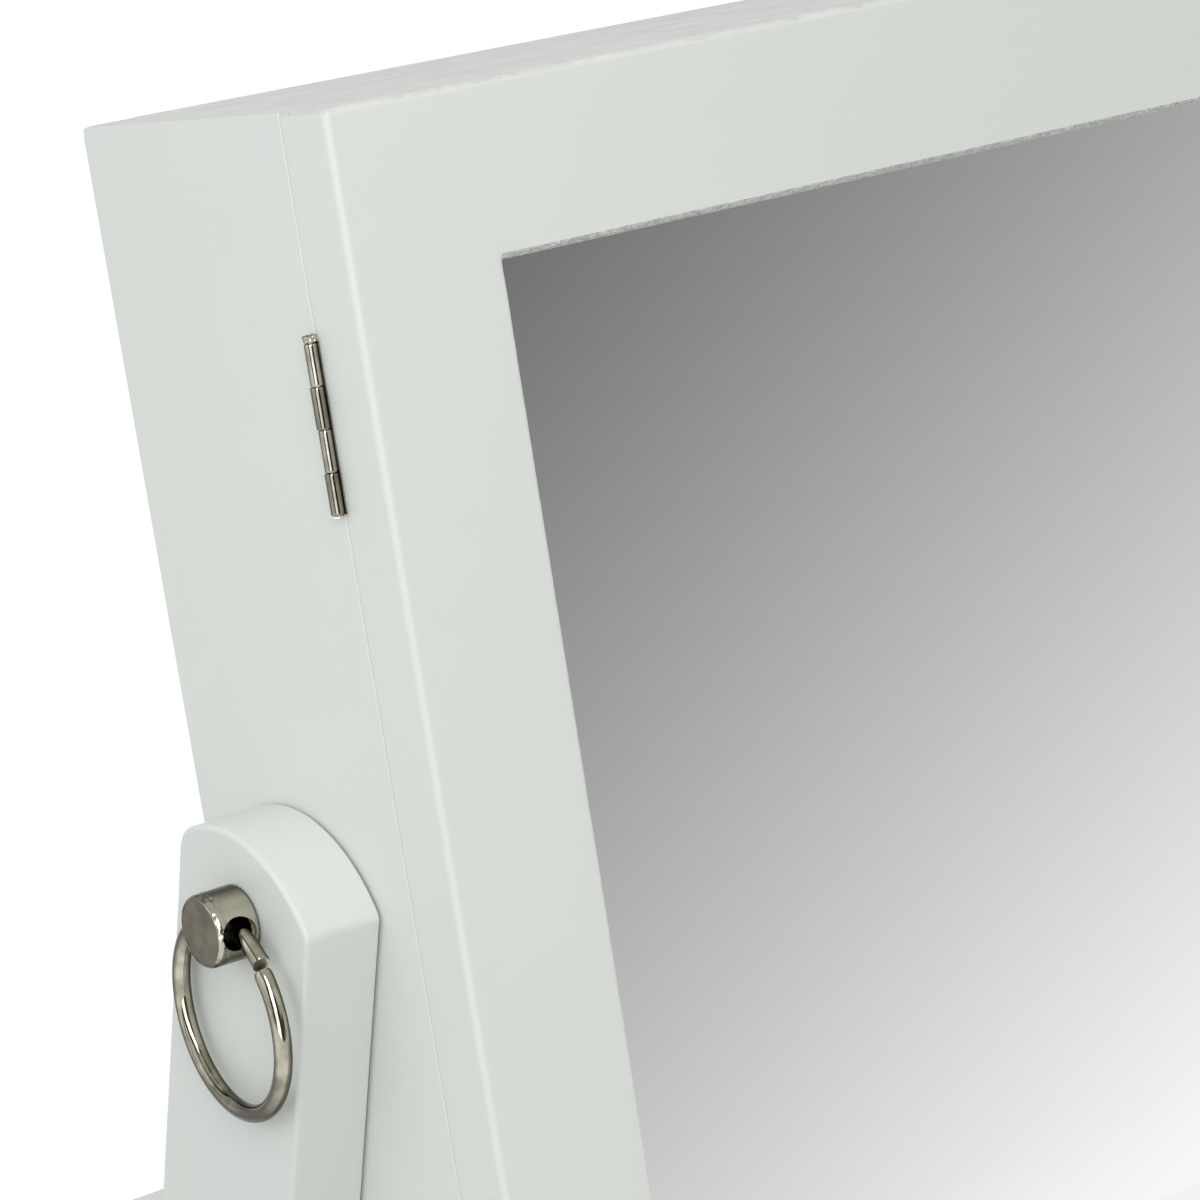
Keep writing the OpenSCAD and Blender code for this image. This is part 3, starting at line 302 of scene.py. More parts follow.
def painted(light, dark, rough, rarity):
    def build(tree, principled):
        colour = use(tree, CLOUDS, Scale=11.0, Light=light, Dark=dark)["Colour"]
        mask = use(tree, SPECKS, Scale=55.0, Size=0.014, Rarity=rarity)["Mask"]
        join(tree, mix_colour(tree, mask, colour, (0.22, 0.22, 0.2)), principled.inputs["Base Color"])
        smear = use(tree, SMUDGES, Scale=24.0, Least=rough - 0.05, Most=rough + 0.08)["Roughness"]
        join(tree, smear, principled.inputs["Roughness"])
        bump(tree, principled, use(tree, ORANGE_PEEL, Scale=620.0, Grit=0.15)["Height"], 0.35, 0.00006)
    return build


def sanded(tree, principled):
    """Paint over sanded board ends: streaks, pits and a duller skin."""
    colour = use(tree, CLOUDS, Scale=70.0, Light=(0.80, 0.80, 0.785), Dark=(0.75, 0.75, 0.735))["Colour"]
    streaks = noise_of(tree, 300.0, 6.0, 0.75, (0.3, 1.0, 1.0), 1.2)
    colour = mix_colour(tree, spread(tree, streaks, 0.5, 0.66, 0.0, 0.75), colour, (0.66, 0.645, 0.625))
    pits = use(tree, SPECKS, Scale=170.0, Size=0.05, Rarity=0.94)["Mask"]
    join(tree, mix_colour(tree, pits, colour, (0.2, 0.19, 0.17)), principled.inputs["Base Color"])
    principled.inputs["Roughness"].default_value = 0.6
    skin = use(tree, ORANGE_PEEL, Scale=900.0, Grit=0.6)["Height"]
    bump(tree, principled, maths(tree, "ADD", streaks, skin), 1.0, 0.0003)


def routed(tree, principled):
    """Paint over a routed edge, where the board's fibres stand up in lumps; its tone, lighter than the rest
    of the paint, is painted light, set for the upper edge that faces down, and the low parts between the
    lumps get painted shade.
    """
    colour = use(tree, CLOUDS, Scale=11.0, Light=(0.82, 0.84, 0.81), Dark=(0.78, 0.80, 0.77))["Colour"]
    fibres = noise_of(tree, 1500.0, 4.0, 0.8, (0.6, 1.0, 1.0), 1.0)
    # Painted shade: darker where the fibres' bump lies low
    pits = spread(tree, fibres, 0.52, 0.38, 0.0, 0.85)
    join(tree, mix_colour(tree, pits, colour, (0.40, 0.40, 0.38)), principled.inputs["Base Color"])
    principled.inputs["Roughness"].default_value = 0.35
    bump(tree, principled, fibres, 1.0, 0.0008)


def moulded(light, dark, rough):
    def build(tree, principled):
        colour = use(tree, CLOUDS, Scale=40.0, Light=light, Dark=dark)["Colour"]
        join(tree, colour, principled.inputs["Base Color"])
        smear = use(tree, SMUDGES, Scale=90.0, Least=rough - 0.05, Most=rough + 0.07)["Roughness"]
        join(tree, smear, principled.inputs["Roughness"])
        bump(tree, principled, use(tree, ORANGE_PEEL, Scale=2200.0, Grit=0.4)["Height"], 0.25, 0.00003)
    return build


def metal(light, dark, rough, lines, line_scale=2600.0, metallic=1.0, rim=None):
    """Plated or bare metal; a rim colour darkens it where it turns away, a painted dark reflection towards
    its outline.
    """
    def build(tree, principled):
        principled.inputs["Metallic"].default_value = metallic
        colour = use(tree, CLOUDS, Scale=240.0, Light=light, Dark=dark)["Colour"]
        if rim:
            # Painted dark reflection: the base colour darkens towards the outline as seen from the view
            facing = shader(tree, "ShaderNodeLayerWeight", {"Blend": 0.5}).outputs["Facing"]
            colour = use(tree, PAINTED_DARK_OUTLINE, Facing=facing, Middle=colour, Rim=rim)["Colour"]
        join(tree, colour, principled.inputs["Base Color"])
        smear = use(tree, SMUDGES, Scale=180.0, Least=rough * 0.75, Most=rough * 1.35)["Roughness"]
        join(tree, smear, principled.inputs["Roughness"])
        bump(tree, principled, use(tree, FINE_LINES, Scale=line_scale)["Height"], lines, 0.00002)
    return build


def piled(light, dark, scale, depth):
    def build(tree, principled):
        outputs = use(tree, PILE, Scale=scale, Light=light, Dark=dark)
        join(tree, outputs["Colour"], principled.inputs["Base Color"])
        principled.inputs["Roughness"].default_value = 0.92
        principled.inputs["Sheen Weight"].default_value = 0.45
        principled.inputs["Sheen Roughness"].default_value = 0.35
        principled.inputs["Sheen Tint"].default_value = (0.5, 0.5, 0.55, 1)
        principled.inputs["Specular IOR Level"].default_value = 0.15
        bump(tree, principled, outputs["Height"], 0.7, depth)
    return build


def wooden(light, dark, scale, rough):
    def build(tree, principled):
        outputs = use(tree, GRAIN, Scale=scale, Light=light, Dark=dark)
        join(tree, outputs["Colour"], principled.inputs["Base Color"])
        smear = use(tree, SMUDGES, Scale=60.0, Least=rough - 0.06, Most=rough + 0.08)["Roughness"]
        join(tree, smear, principled.inputs["Roughness"])
        bump(tree, principled, outputs["Height"], 0.4, 0.00006)
    return build


def silvered(tree, principled):
    principled.inputs["Metallic"].default_value = 1.0
    colour = use(tree, CLOUDS, Scale=6.0, Light=(0.96, 0.938, 0.943), Dark=(0.95, 0.93, 0.937))["Colour"]
    join(tree, colour, principled.inputs["Base Color"])
    principled.inputs["Roughness"].default_value = 0.0


# Painted dark reflection: the colour that shiny nickel darkens to at its outline
PAINTED_OUTLINE_SHADE = (0.05, 0.042, 0.03)
PAINT = finish("satin_white_paint", painted((0.742, 0.768, 0.737), (0.722, 0.757, 0.732), 0.44, 0.93))
STAND_PAINT = finish("stand_white_paint", painted((0.722, 0.748, 0.722), (0.702, 0.737, 0.716), 0.44, 0.95))
SANDED_PAINT = finish("sanded_white_paint", sanded)
ROUTED_PAINT_LIGHT_AND_SHADE = finish("routed_white_paint_painted_light_shade", routed)
CAP_PLASTIC = finish("white_plastic", moulded((0.74, 0.77, 0.75), (0.72, 0.755, 0.735), 0.42))
NYLON = finish("natural_nylon", moulded((0.76, 0.76, 0.72), (0.72, 0.72, 0.68), 0.45))
NICKEL = finish("nickel_plate", metal((0.52, 0.493, 0.4), (0.27, 0.247, 0.193), 0.045, 0.2, rim=PAINTED_OUTLINE_SHADE))
KNOB_NICKEL = finish("turned_nickel", metal(
    (0.52, 0.495, 0.405), (0.44, 0.415, 0.335), 0.19, 0.5, rim=PAINTED_OUTLINE_SHADE))
# Brushed face of the clamp knob: its colour, far darker than the drum's, is painted shade for the darker
# surroundings that the face reflects
FACE_NICKEL_PAINTED_SHADE = finish("brushed_nickel_face_painted_shade", metal(
    (0.165, 0.142, 0.106), (0.115, 0.102, 0.078), 0.36, 1.0, 900.0))
HINGE_NICKEL = finish("hinge_nickel", metal(
    (0.50, 0.47, 0.41), (0.33, 0.31, 0.265), 0.1, 0.5, rim=PAINTED_OUTLINE_SHADE))
# Painted shade: a darker copy of the hinge nickel for the door leaf, for the shade its knuckles get beside
# the door's edge
SHADED_DOOR_HINGE_NICKEL = finish("hinge_nickel_painted_shade", metal(
    (0.32, 0.30, 0.25), (0.2, 0.185, 0.15), 0.11, 0.6, rim=PAINTED_OUTLINE_SHADE))
PIN_BRASS = finish("worn_pin_brass", metal((0.95, 0.90, 0.78), (0.22, 0.16, 0.10), 0.22, 1.0, 1400.0))
SCREW_STEEL = finish("zinc_plated_steel", metal((0.58, 0.58, 0.56), (0.46, 0.46, 0.46), 0.3, 0.5))
FERRITE = finish("bare_ferrite", metal((0.09, 0.09, 0.095), (0.05, 0.05, 0.055), 0.6, 0.4, 900.0, 0.4))
CUT_STEEL = finish("fresh_cut_steel", metal((0.70, 0.68, 0.63), (0.26, 0.24, 0.2), 0.3, 0.8, 1500.0))
BRASS = finish("bare_brass", metal((0.74, 0.56, 0.26), (0.6, 0.44, 0.2), 0.28, 0.5))
BEECH = finish("beech", wooden((0.66, 0.48, 0.29), (0.48, 0.33, 0.18), 900.0, 0.6))
HARDBOARD = finish("hardboard", wooden((0.26, 0.16, 0.09), (0.17, 0.10, 0.055), 2200.0, 0.7))
MIRROR = finish("silvered_mirror", silvered)
VELVET = finish("dark_velvet", piled((0.040, 0.040, 0.044), (0.012, 0.012, 0.014), 2600.0, 0.00035))
FELT = finish("dark_felt", piled((0.05, 0.05, 0.05), (0.02, 0.02, 0.02), 1500.0, 0.0005))


# Mesh pieces
def mesh_piece(name, points, faces):
    mesh = bpy.data.meshes.new(name)
    mesh.from_pydata([tuple(p) for p in points], [], faces)
    obj = bpy.data.objects.new(name, mesh)
    bpy.context.scene.collection.objects.link(obj)
    work = bmesh.new()
    work.from_mesh(mesh)
    bmesh.ops.recalc_face_normals(work, faces=work.faces)
    work.to_mesh(mesh)
    work.free()
    return obj


def smooth(obj, angle=32):
    for face in obj.data.polygons:
        face.use_smooth = True
    obj.data.set_sharp_from_angle(angle=math.radians(angle))


def even_normals(obj):
    modifier = obj.modifiers.new("even_normals", "WEIGHTED_NORMAL")
    modifier.keep_sharp = True
    modifier.weight = 80


def placed(obj, body, slot, material, *nodes):
    """Gives a piece its finish, and puts it on its body in place of the nodes it stands for."""
    if len(obj.data.materials) == 0:
        obj.data.materials.append(material)
    else:
        obj.data.materials[0] = material
    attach(obj, body)
    if nodes:
        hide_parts(*nodes)
    return obj


def rounded_off(obj, angle, body, slot, material, *nodes):
    """A cut piece: smooth shading that keeps its flats flat, then its finish and body."""
    smooth(obj, angle)
    even_normals(obj)
    return placed(obj, body, slot, material, *nodes)


def joined(name, pieces):
    work = bmesh.new()
    for piece in pieces:
        work.from_mesh(piece.data)
        bpy.data.objects.remove(piece)
    mesh = bpy.data.meshes.new(name)
    work.to_mesh(mesh)
    work.free()
    obj = bpy.data.objects.new(name, mesh)
    bpy.context.scene.collection.objects.link(obj)
    return obj


def grouped(name, pieces, angle, body, slot, material, node):
    """Small alike parts as one piece."""
    group = joined(name, pieces)
    smooth(group, angle)
    return placed(group, body, slot, material, node)


def settled(obj):
    """Applies an object's modifiers."""
    depsgraph = bpy.context.evaluated_depsgraph_get()
    mesh = bpy.data.meshes.new_from_object(obj.evaluated_get(depsgraph))
    obj.modifiers.clear()
    obj.data = mesh
    return obj


def scored(obj, place, lines):
    """Extra edge loops at (axis, position), so that a cut stays within a small face."""
    work = bmesh.new()
    work.from_mesh(obj.data)
    zero = place(0, 0, 0)
    for axis, at in lines:
        along = [0, 0, 0]
        along[axis] = 1
        normal = (place(*along) - zero).normalized()
        bmesh.ops.bisect_plane(work, geom=work.verts[:] + work.edges[:] + work.faces[:], dist=1e-7,
                               plane_co=zero + normal * at * MM, plane_no=normal)
    work.to_mesh(obj.data)
    work.free()


def cut_away(obj, cutters):
    """Takes closed shapes out of a piece."""
    for cutter in cutters:
        cut = obj.modifiers.new("cut", "BOOLEAN")
        cut.operation = "DIFFERENCE"
        cut.solver = "EXACT"
        cut.object = cutter
    settled(obj)
    for cutter in cutters:
        bpy.data.objects.remove(cutter)
    return obj


def arc(cy, cz, r, start, end, steps):
    turns = [math.radians(start + (end - start) * i / steps) for i in range(steps + 1)]
    return [(cy + r * math.cos(a), cz + r * math.sin(a)) for a in turns]


def quarter(steps):
    """The angles of a quarter turn."""
    return [math.pi / 2 * i / steps for i in range(steps + 1)]


def eased(a, corner, b, steps=6):
    """A soft bend from a to b in place of a corner."""
    bend = []
    for i in range(steps + 1):
        t = i / steps
        bend.append(tuple((1 - t) ** 2 * a[k] + 2 * t * (1 - t) * corner[k] + t * t * b[k] for k in (0, 1)))
    return bend


def rectangle(y, z, r, steps=5):
    """A rectangle's outline with corner radii r (low y and high y), counterclockwise."""
    near, far = r
    outline = arc(y[1] - far, z[0] + far, far, -90, 0, steps)
    outline += arc(y[1] - far, z[1] - far, far, 0, 90, steps)
    outline += arc(y[0] + near, z[1] - near, near, 90, 180, steps)
    outline += arc(y[0] + near, z[0] + near, near, 180, 270, steps)
    return outline


def inset(outline, distances):
    """An outline drawn in, its corners mitred."""
    moved = []
    count = len(outline)
    for i, (y, z) in enumerate(outline):
        before, after = outline[i - 1], outline[(i + 1) % count]
        a = Vector((y - before[0], z - before[1])).normalized()
        b = Vector((after[0] - y, after[1] - z)).normalized()
        inward = Vector((-a.y - b.y, a.x + b.x)).normalized()
        reach = distances[i] / max(inward.dot(Vector((-b.y, b.x))), 0.4)
        moved.append((y + inward.x * reach, z + inward.y * reach))
    return moved


def bands(levels, count, closed=False):
    """Faces between outlines of count points each; closed joins the last outline to the first."""
    faces = []
    for level in range(levels if closed else levels - 1):
        low, high = level * count, (level + 1) % levels * count
        for i in range(count):
            j = (i + 1) % count
            faces.append((low + i, low + j, high + j, high + i))
    return faces


def end_faces(total, count):
    return [tuple(range(count)), tuple(range(total - count, total))]


def loft(name, rings, place, crease=28):
    """A closed piece through outlines at X positions, all with the same number of points."""
    count = len(rings[0][1])
    points = [place(x, y, z) for x, outline in rings for y, z in outline]
    start, end = end_faces(len(points), count)
    obj = mesh_piece(name, points, [start[::-1], end] + bands(len(rings), count))
    smooth(obj, crease)
    return obj


def rounded_end(outline, x, side, radii, steps=5):
    """Rings that round an outline's end face at x; side is 1 where the piece lies at higher x."""
    if not isinstance(radii, list):
        radii = [radii] * len(outline)
    rings = []
    for k in range(steps + 1):
        a = math.pi / 2 * k / steps
        depth = max(radii) * (1 - math.cos(a))
        rings.append((x + side * depth, inset(outline, [r * (1 - math.sin(a)) for r in radii])))
    return rings


def rounded_slab(name, outline, x0, x1, radii, place, steps=5):
    """A board cut to an outline in Y and Z; radii are those of its edges at x0 and x1."""
    rings = rounded_end(outline, x0, 1, radii[0], steps)
    rings += rounded_end(outline, x1, -1, radii[1], steps)[::-1]
    return loft(name, rings, place)


def block(name, x, y, z, place):
    points = [place(a, b, c) for a in x for b in y for c in z]
    faces = [(0, 1, 3, 2), (4, 5, 7, 6), (0, 1, 5, 4), (2, 3, 7, 6), (0, 2, 6, 4), (1, 3, 7, 5)]
    return mesh_piece(name, points, faces)


def turned(name, profile, place, steps=96):
    """A lathe piece: profile gives (along the axis, radius), place takes (along, across, up)."""
    points = []
    for along, r in profile:
        for i in range(steps):
            a = 2 * math.pi * i / steps
            points.append(place(along, r * math.cos(a), r * math.sin(a)))
    obj = mesh_piece(name, points, bands(len(profile), steps) + end_faces(len(points), steps))
    smooth(obj, 30)
    return obj


def towards_y(place, x, y, z, way=1):
    """For turned(): an axis through (x, y, z) that runs to the back, or to the front where way is -1."""
    return lambda along, across, up: place(x + across, y + way * along, z + up)


def wire(name, path, r, place, sides=20, section=None):
    """A wire along a path; section(t, a) scales its radius at share t and angle a."""
    points = []
    count = len(path)
    tangents = [(path[min(i + 1, count - 1)] - path[max(i - 1, 0)]).normalized() for i in range(count)]
    across = tangents[0].orthogonal().normalized()
    for i, centre in enumerate(path):
        across = (across - tangents[i] * across.dot(tangents[i])).normalized()
        other = tangents[i].cross(across)
        for k in range(sides):
            a = 2 * math.pi * k / sides
            size = section(i / (count - 1), a) if section else 1.0
            points.append(place(*(centre + (across * math.cos(a) + other * math.sin(a)) * r * size)))
    obj = mesh_piece(name, points, bands(count, sides) + end_faces(len(points), sides))
    smooth(obj, 40)
    return obj


# Side boards: a narrow neck with an arched top, a shoulder in a large arc, and a low foot
def side_board_outline():
    neck_w = NECK_FRONT + NECK_BACK
    arc_r = ((neck_w / 2) ** 2 + NECK_ARC_H ** 2) / (2 * NECK_ARC_H)
    arc_y = (NECK_BACK - NECK_FRONT) / 2
    arc_z = PIVOT_Z + NECK_RISE - arc_r
    corner_y = NECK_BACK - NECK_CORNER_R
    corner_z = arc_z + math.sqrt((arc_r - NECK_CORNER_R) ** 2 - (corner_y - arc_y) ** 2)
    corner_end = math.degrees(math.atan2(corner_z - arc_z, corner_y - arc_y))
    front_z = PIVOT_Z + NECK_RISE - NECK_ARC_H
    front_at = math.degrees(math.atan2(front_z - arc_z, -NECK_FRONT - arc_y))
    rise = PIVOT_Z - SHOULDER_DROP - BASE_TOP
    shoulder_y = (SHOULDER_BACK ** 2 + rise ** 2 - STAND_HALF_D ** 2) / (2 * (SHOULDER_BACK - STAND_HALF_D))
    shoulder_r = STAND_HALF_D - shoulder_y
    shoulder_at = math.degrees(math.atan2(rise, SHOULDER_BACK - shoulder_y))
    outline = [(STAND_HALF_D, FELT_T)] + arc(shoulder_y, BASE_TOP, shoulder_r, 0, shoulder_at, 40)
    upright_from, bend_turn, bend_drop = corner_z - 12, 2.2, 1.2
    outline += [(NECK_BACK, upright_from)] + arc(corner_y, corner_z, NECK_CORNER_R, 0, corner_end, 12)
    neck = arc(arc_y, arc_z, arc_r, corner_end, front_at - bend_turn, 36)[1:]
    outline += neck + eased(neck[-1], (-NECK_FRONT, front_z), (-NECK_FRONT, front_z - bend_drop))[1:]
    r = FOOT_CORNER_R
    outline += arc(-NECK_FRONT - r, RAIL_TOP + r, r, 0, -90, 12)
    outline += arc(-STAND_HALF_D + r, RAIL_TOP - r, r, 90, 180, 12)
    outline += [(-STAND_HALF_D, FELT_T)]
    return outline


def side_boards():
    outline = side_board_outline()
    for side, word in ((-1, "left"), (1, "right")):
        def place(x, y, z):
            return upright(side * x, y, z)
        board = rounded_slab("painted_side_board_" + word, outline, STAND_INNER, STAND_OUTER,
                             (0.35, 1.0), place)
        cut_away(board, [turned("bore", [(STAND_INNER - 1, STUD_BORE_R), (STAND_OUTER + 1, STUD_BORE_R)],
                                lambda along, u, v: place(along, u, PIVOT_Z + v), 48)])
        rounded_off(board, 28, "stand", "white_paint", STAND_PAINT, "side_board_" + word)


# Clamp knob: a turned drum with a dented rim and its stud, drilled across
def knob_profile():
    """(Along X, radius) from the stud's end to the middle of the face, which lies a little in."""
    stud = [(STUD_END, 0.01), (STUD_END, 2.6), (STUD_END + 0.4, STUD_R), (KNOB_SEAT - 0.4, STUD_R)]
    seat = [(-0.15, 3.0), (0.0, 6.6), (0.1, 6.95), (0.35, 7.15), (0.6, KNOB_R), (1.0, KNOB_R)]
    rim = [
        (2.4, KNOB_R), (2.0, 7.17), (1.7, 7.14), (1.4, 7.18), (1.1, 7.18), (0.8, 7.12), (0.5, 7.0),
        (0.25, 6.86), (0.08, 6.72), (0.0, 6.56), (0.04, 6.46), (0.12, 6.38), (0.12, 4.0), (0.14, 0.01),
    ]
    return stud + [(KNOB_SEAT + up, r) for up, r in seat] + [(KNOB_FACE - down, r) for down, r in rim]


def clamp_knobs():
    profile = knob_profile()
    mouth = [(5.7, HOLE_R), (6.2, 3.22), (6.6, 3.4), (7.05, 3.65), (7.3, 3.8), (9.0, 4.4)]
    drill = [(-along, r) for along, r in mouth[::-1]] + mouth
    rim_from, rim_inner_r, face_from, face_r = KNOB_FACE - 1.9, 6.4, KNOB_FACE - 0.2, 6.5
    c, s = math.cos(DRILL_TURN), math.sin(DRILL_TURN)
    for side, word in ((-1, "left"), (1, "right")):
        knob = turned(word + "_turned_knob", profile,
                      lambda along, across, up: upright(side * along, across, PIVOT_Z + up), 128)
        for vertex in knob.data.vertices:
            x, y, z = vertex.co / MM
            along, r = abs(x), math.hypot(y, z - PIVOT_Z)
            if along > rim_from and r > rim_inner_r:
                dent = noise.noise(Vector((along * 1.5, y * 1.6 + side, z * 1.6)))
                keep = 1 - 0.04 * max(0.0, dent + 0.05)
                vertex.co = upright(x, y * keep, PIVOT_Z + (z - PIVOT_Z) * keep)
        cut_away(knob, [turned("drill", drill, lambda along, across, up: upright(
            side * (HOLE_X + across), along * c + up * s, PIVOT_Z - along * s + up * c), 64)])
        rounded_off(knob, 30, word + "_knob", "nickel", KNOB_NICKEL, word + "_clamp_knob")
        # The knob's face gets the brushed nickel with painted shade
        knob.data.materials.append(FACE_NICKEL_PAINTED_SHADE)
        for face in knob.data.polygons:
            x, y, z = face.center / MM
            if abs(x) > face_from and math.hypot(y, z - PIVOT_Z) < face_r:
                face.material_index = 1


# Pull ring: wire cut from a coil, so that its ends stand apart sideways
def pull_rings():
    c, s = math.cos(KNOB_TURN), math.sin(KNOB_TURN)
    steps = 170
    start, end = 45.0, 401.5
    middle_x, first_out = RING_X + 0.15, 0.32

    def section(t, a):
        """The first end is filed a little thinner, the last one is pinched by the cutter."""
        if t < 0.004:
            return 0.9
        if t > 0.994:
            return 0.97 + 0.12 * noise.noise(Vector((a * 2, t * 90, 1.7)))
        return 1.0

    for side, word in ((-1, "left"), (1, "right")):
        path = []
        for i in range(steps + 1):
            a = math.radians(start + (end - start) * i / steps)
            across = -RING_R * math.sin(a)
            up = RING_R * math.cos(a) - RING_R + RING_UP
            out = middle_x - RING_SLANT * across + first_out - ENDS_APART * i / steps
            path.append(Vector((side * out, across * c + up * s, PIVOT_Z - across * s + up * c)))
        ring = wire(word + "_split_ring", path, WIRE_R, upright, RING_SIDES, section)
        out_front_up = Vector((side * 0.56, -0.68, 0.47))
        shear_the_end(ring, path, out_front_up)
        placed(ring, word + "_ring", "nickel", NICKEL, word + "_pull_ring")


def shear_the_end(ring, path, toward):
    """Cuts the last end of the wire aslant, so that the cut faces along toward, and leaves it bare."""
    along = (path[-1] - path[-2]).normalized()
    slant = (along + toward * 0.6).normalized()
    count = len(path)
    for back, share in enumerate((1.0, 0.75, 0.5, 0.25)):
        centre = path[count - 1 - back]
        for k in range(RING_SIDES):
            vertex = ring.data.vertices[(count - 1 - back) * RING_SIDES + k]
            reach = (vertex.co / MM - centre).dot(slant) / along.dot(slant)
            vertex.co -= along * reach * share * MM
    ring.data.update()
    ring.data.materials.append(NICKEL)
    ring.data.materials.append(CUT_STEEL)
    for face in ring.data.polygons:
        if min(face.vertices) >= (count - 1) * RING_SIDES:
            face.material_index = 1


# Hinges: each leaf is stamped from sheet, and every second knuckle is rolled round the pin
def hinge_knuckle(z0, z1, r, shift):
    """One knuckle: a rolled tube with softened ends."""
    steps = 48
    bore = PIN_R * 1.08
    lip = [(0.0, bore), (0.0, r - 0.16), (0.05, r - 0.06), (0.16, r), (0.5, r)]
    rings = [(z0 + up, radius) for up, radius in lip] + [(z1 - down, radius) for down, radius in lip[::-1]]
    points = []
    for z, radius in rings:
        for i in range(steps):
            a = 2 * math.pi * i / steps
            points.append(leaning(HINGE_X - shift + radius * math.cos(a), HINGE_Y + radius * math.sin(a), z))
    return mesh_piece("knuckle", points, bands(len(rings), steps, closed=True))


def hinge_plate(z, y0, y1):
    """The flat of a leaf, with rounded outer corners."""
    r = 1
    x0, x1 = HINGE_X + KNUCKLE_R * 0.8, HINGE_X + LEAF_W - 0.1
    outline = [(x0, z), (x1 - r, z)] + arc(x1 - r, z + r, r, -90, 0, 5)[1:]
    outline += arc(x1 - r, z + BARREL_L - r, r, 0, 90, 5) + [(x0, z + BARREL_L)]
    return rounded_slab("plate", outline, y0, y1, (0.1, 0.1), lambda y, x, up: leaning(x, y, up), 2)


def crossed_head(x, y, z, face, r, place):
    """A countersunk screw with a cross recess; face is the way its head looks along Y."""
    profile = [(-3.0, 0.5), (-1.6, 0.95), (-0.9, 1.1), (-0.02, r), (0.0, r - 0.12), (0.0, 0.01)]
    head = turned("screw", profile, towards_y(place, x, y, z, face), 40)
    slots = []
    for wide, high in ((r * 0.62, 0.22), (0.22, r * 0.62)):
        slots.append(block("slot", (x - wide, x + wide), sorted((y - face * 0.75, y + face * 0.4)),
                           (z - high, z + high), place))
    cut_away(head, slots)
    return head


def hinges():
    screws = {"cabinet": [], "door": []}
    for word, z in HINGE_SEATS.items():
        for body in ("cabinet", "door"):
            hinge_leaf(word, body, z, screws[body])
        rivet_pin(word, z)
    for body, heads in screws.items():
        grouped("hinge_screw_heads_" + body, heads, 30, body, "nickel", SCREW_STEEL, "hinge_screws_" + body)


def hinge_leaf(word, body, z, screws):
    """A plate with its two knuckles, sunk for its three screws, whose heads join the list of screws."""
    on_door = body == "door"
    y0 = DOOR_BACK - LEAF_T if on_door else CARCASS_FRONT
    head_y, face = (y0 + LEAF_T, 1) if on_door else (y0, -1)
    r, shift = (KNUCKLE_R, 0.14) if on_door else (KNUCKLE_R - 0.07, 0.0)
    screw_x, first_screw = (HINGE_X + LEAF_W - HALF_W) / 2, 5
    length, gap = BARREL_L / 4, KNUCKLE_GAP / 2
    pieces = [hinge_plate(z, y0, y0 + LEAF_T)]
    for i in (1, 3) if on_door else (0, 2):
        bottom, top = z + BARREL_L - (i + 1) * length, z + BARREL_L - i * length
        pieces.append(hinge_knuckle(bottom + gap, top - gap, r, shift))
    leaf = joined(word + "_hinge_leaf_on_" + body, pieces)
    sinks = []
    for i in range(3):
        screw_z = z + first_screw + (BARREL_L - 2 * first_screw) * i / 2
        sinks.append(turned("sink", [(-1.2, 1.15), (-LEAF_T * 0.9, 1.15), (0.02, 2.3), (0.5, 2.3)],
                            towards_y(leaning, screw_x, head_y, screw_z, face), 40))
        screws.append(crossed_head(screw_x, head_y, screw_z, face, 2.2, leaning))
    cut_away(leaf, sinks)
    # The door leaf takes the darker nickel with painted shade
    rounded_off(leaf, 30, body, "nickel", SHADED_DOOR_HINGE_NICKEL if on_door else HINGE_NICKEL,
                word + "_hinge_" + body + "_leaf")


def rivet_pin(word, z):
    top = z + BARREL_L
    foot = [(-0.6, 0.02), (-0.58, 0.75), (-0.5, 0.95), (-0.12, 1.0), (-0.05, PIN_R), (0.0, PIN_R)]
    head = [
        (0.0, PIN_R), (0.03, PIN_R), (0.08, 0.95), (0.22, 1.12), (0.4, 1.2), (0.58, 1.1), (0.76, 1.02),
        (0.92, 1.16), (1.1, 1.24), (1.25, 1.16), (1.36, 0.98), (1.42, 0.75), (1.44, 0.5), (1.4, 0.25),
        (1.3, 0.02),
    ]
    profile = [(z + up, r) for up, r in foot] + [(top + up, r) for up, r in head]
    pin = turned(word + "_hinge_rivet_pin", profile,
                 lambda along, u, v: leaning(HINGE_X + u, HINGE_Y + v, along), 64)
    roughen_rivet(pin, top)
    placed(pin, "cabinet", "nickel", PIN_BRASS, word + "_hinge_pin")


def roughen_rivet(pin, top):
    """The hammered end of the pin: lumpy, with a crease across it."""
    centre = leaning(HINGE_X, HINGE_Y, top)
    up = (leaning(0, 0, 1) - leaning(0, 0, 0)).normalized()
    for vertex in pin.data.vertices:
        rise = (vertex.co - centre).dot(up) / MM
        if rise > 0.04:
            out = vertex.co - centre - up * rise * MM
            lump = noise.noise(vertex.co / MM * 2.1) + 0.7 * noise.noise(vertex.co / MM * 4.7)
            crease = math.exp(-((out.x / MM * 0.8 + out.y / MM * 0.6) / 0.24) ** 2)
            vertex.co += out * 0.3 * lump + up * MM * (0.3 * lump - 0.55 * crease * min(1.0, rise / 1.2))


# Carcass: four painted boards, all rebated for the back panel
def hinge_seats(y):
    """What is cut out of the left edge for the leaves of both hinges, over the depths y."""
    play = 0.1
    return [block("hinge_seat", (-HALF_W - 1, HINGE_X + LEAF_W), y, (z - play, z + BARREL_L + play), leaning)
            for z in HINGE_SEATS.values()]


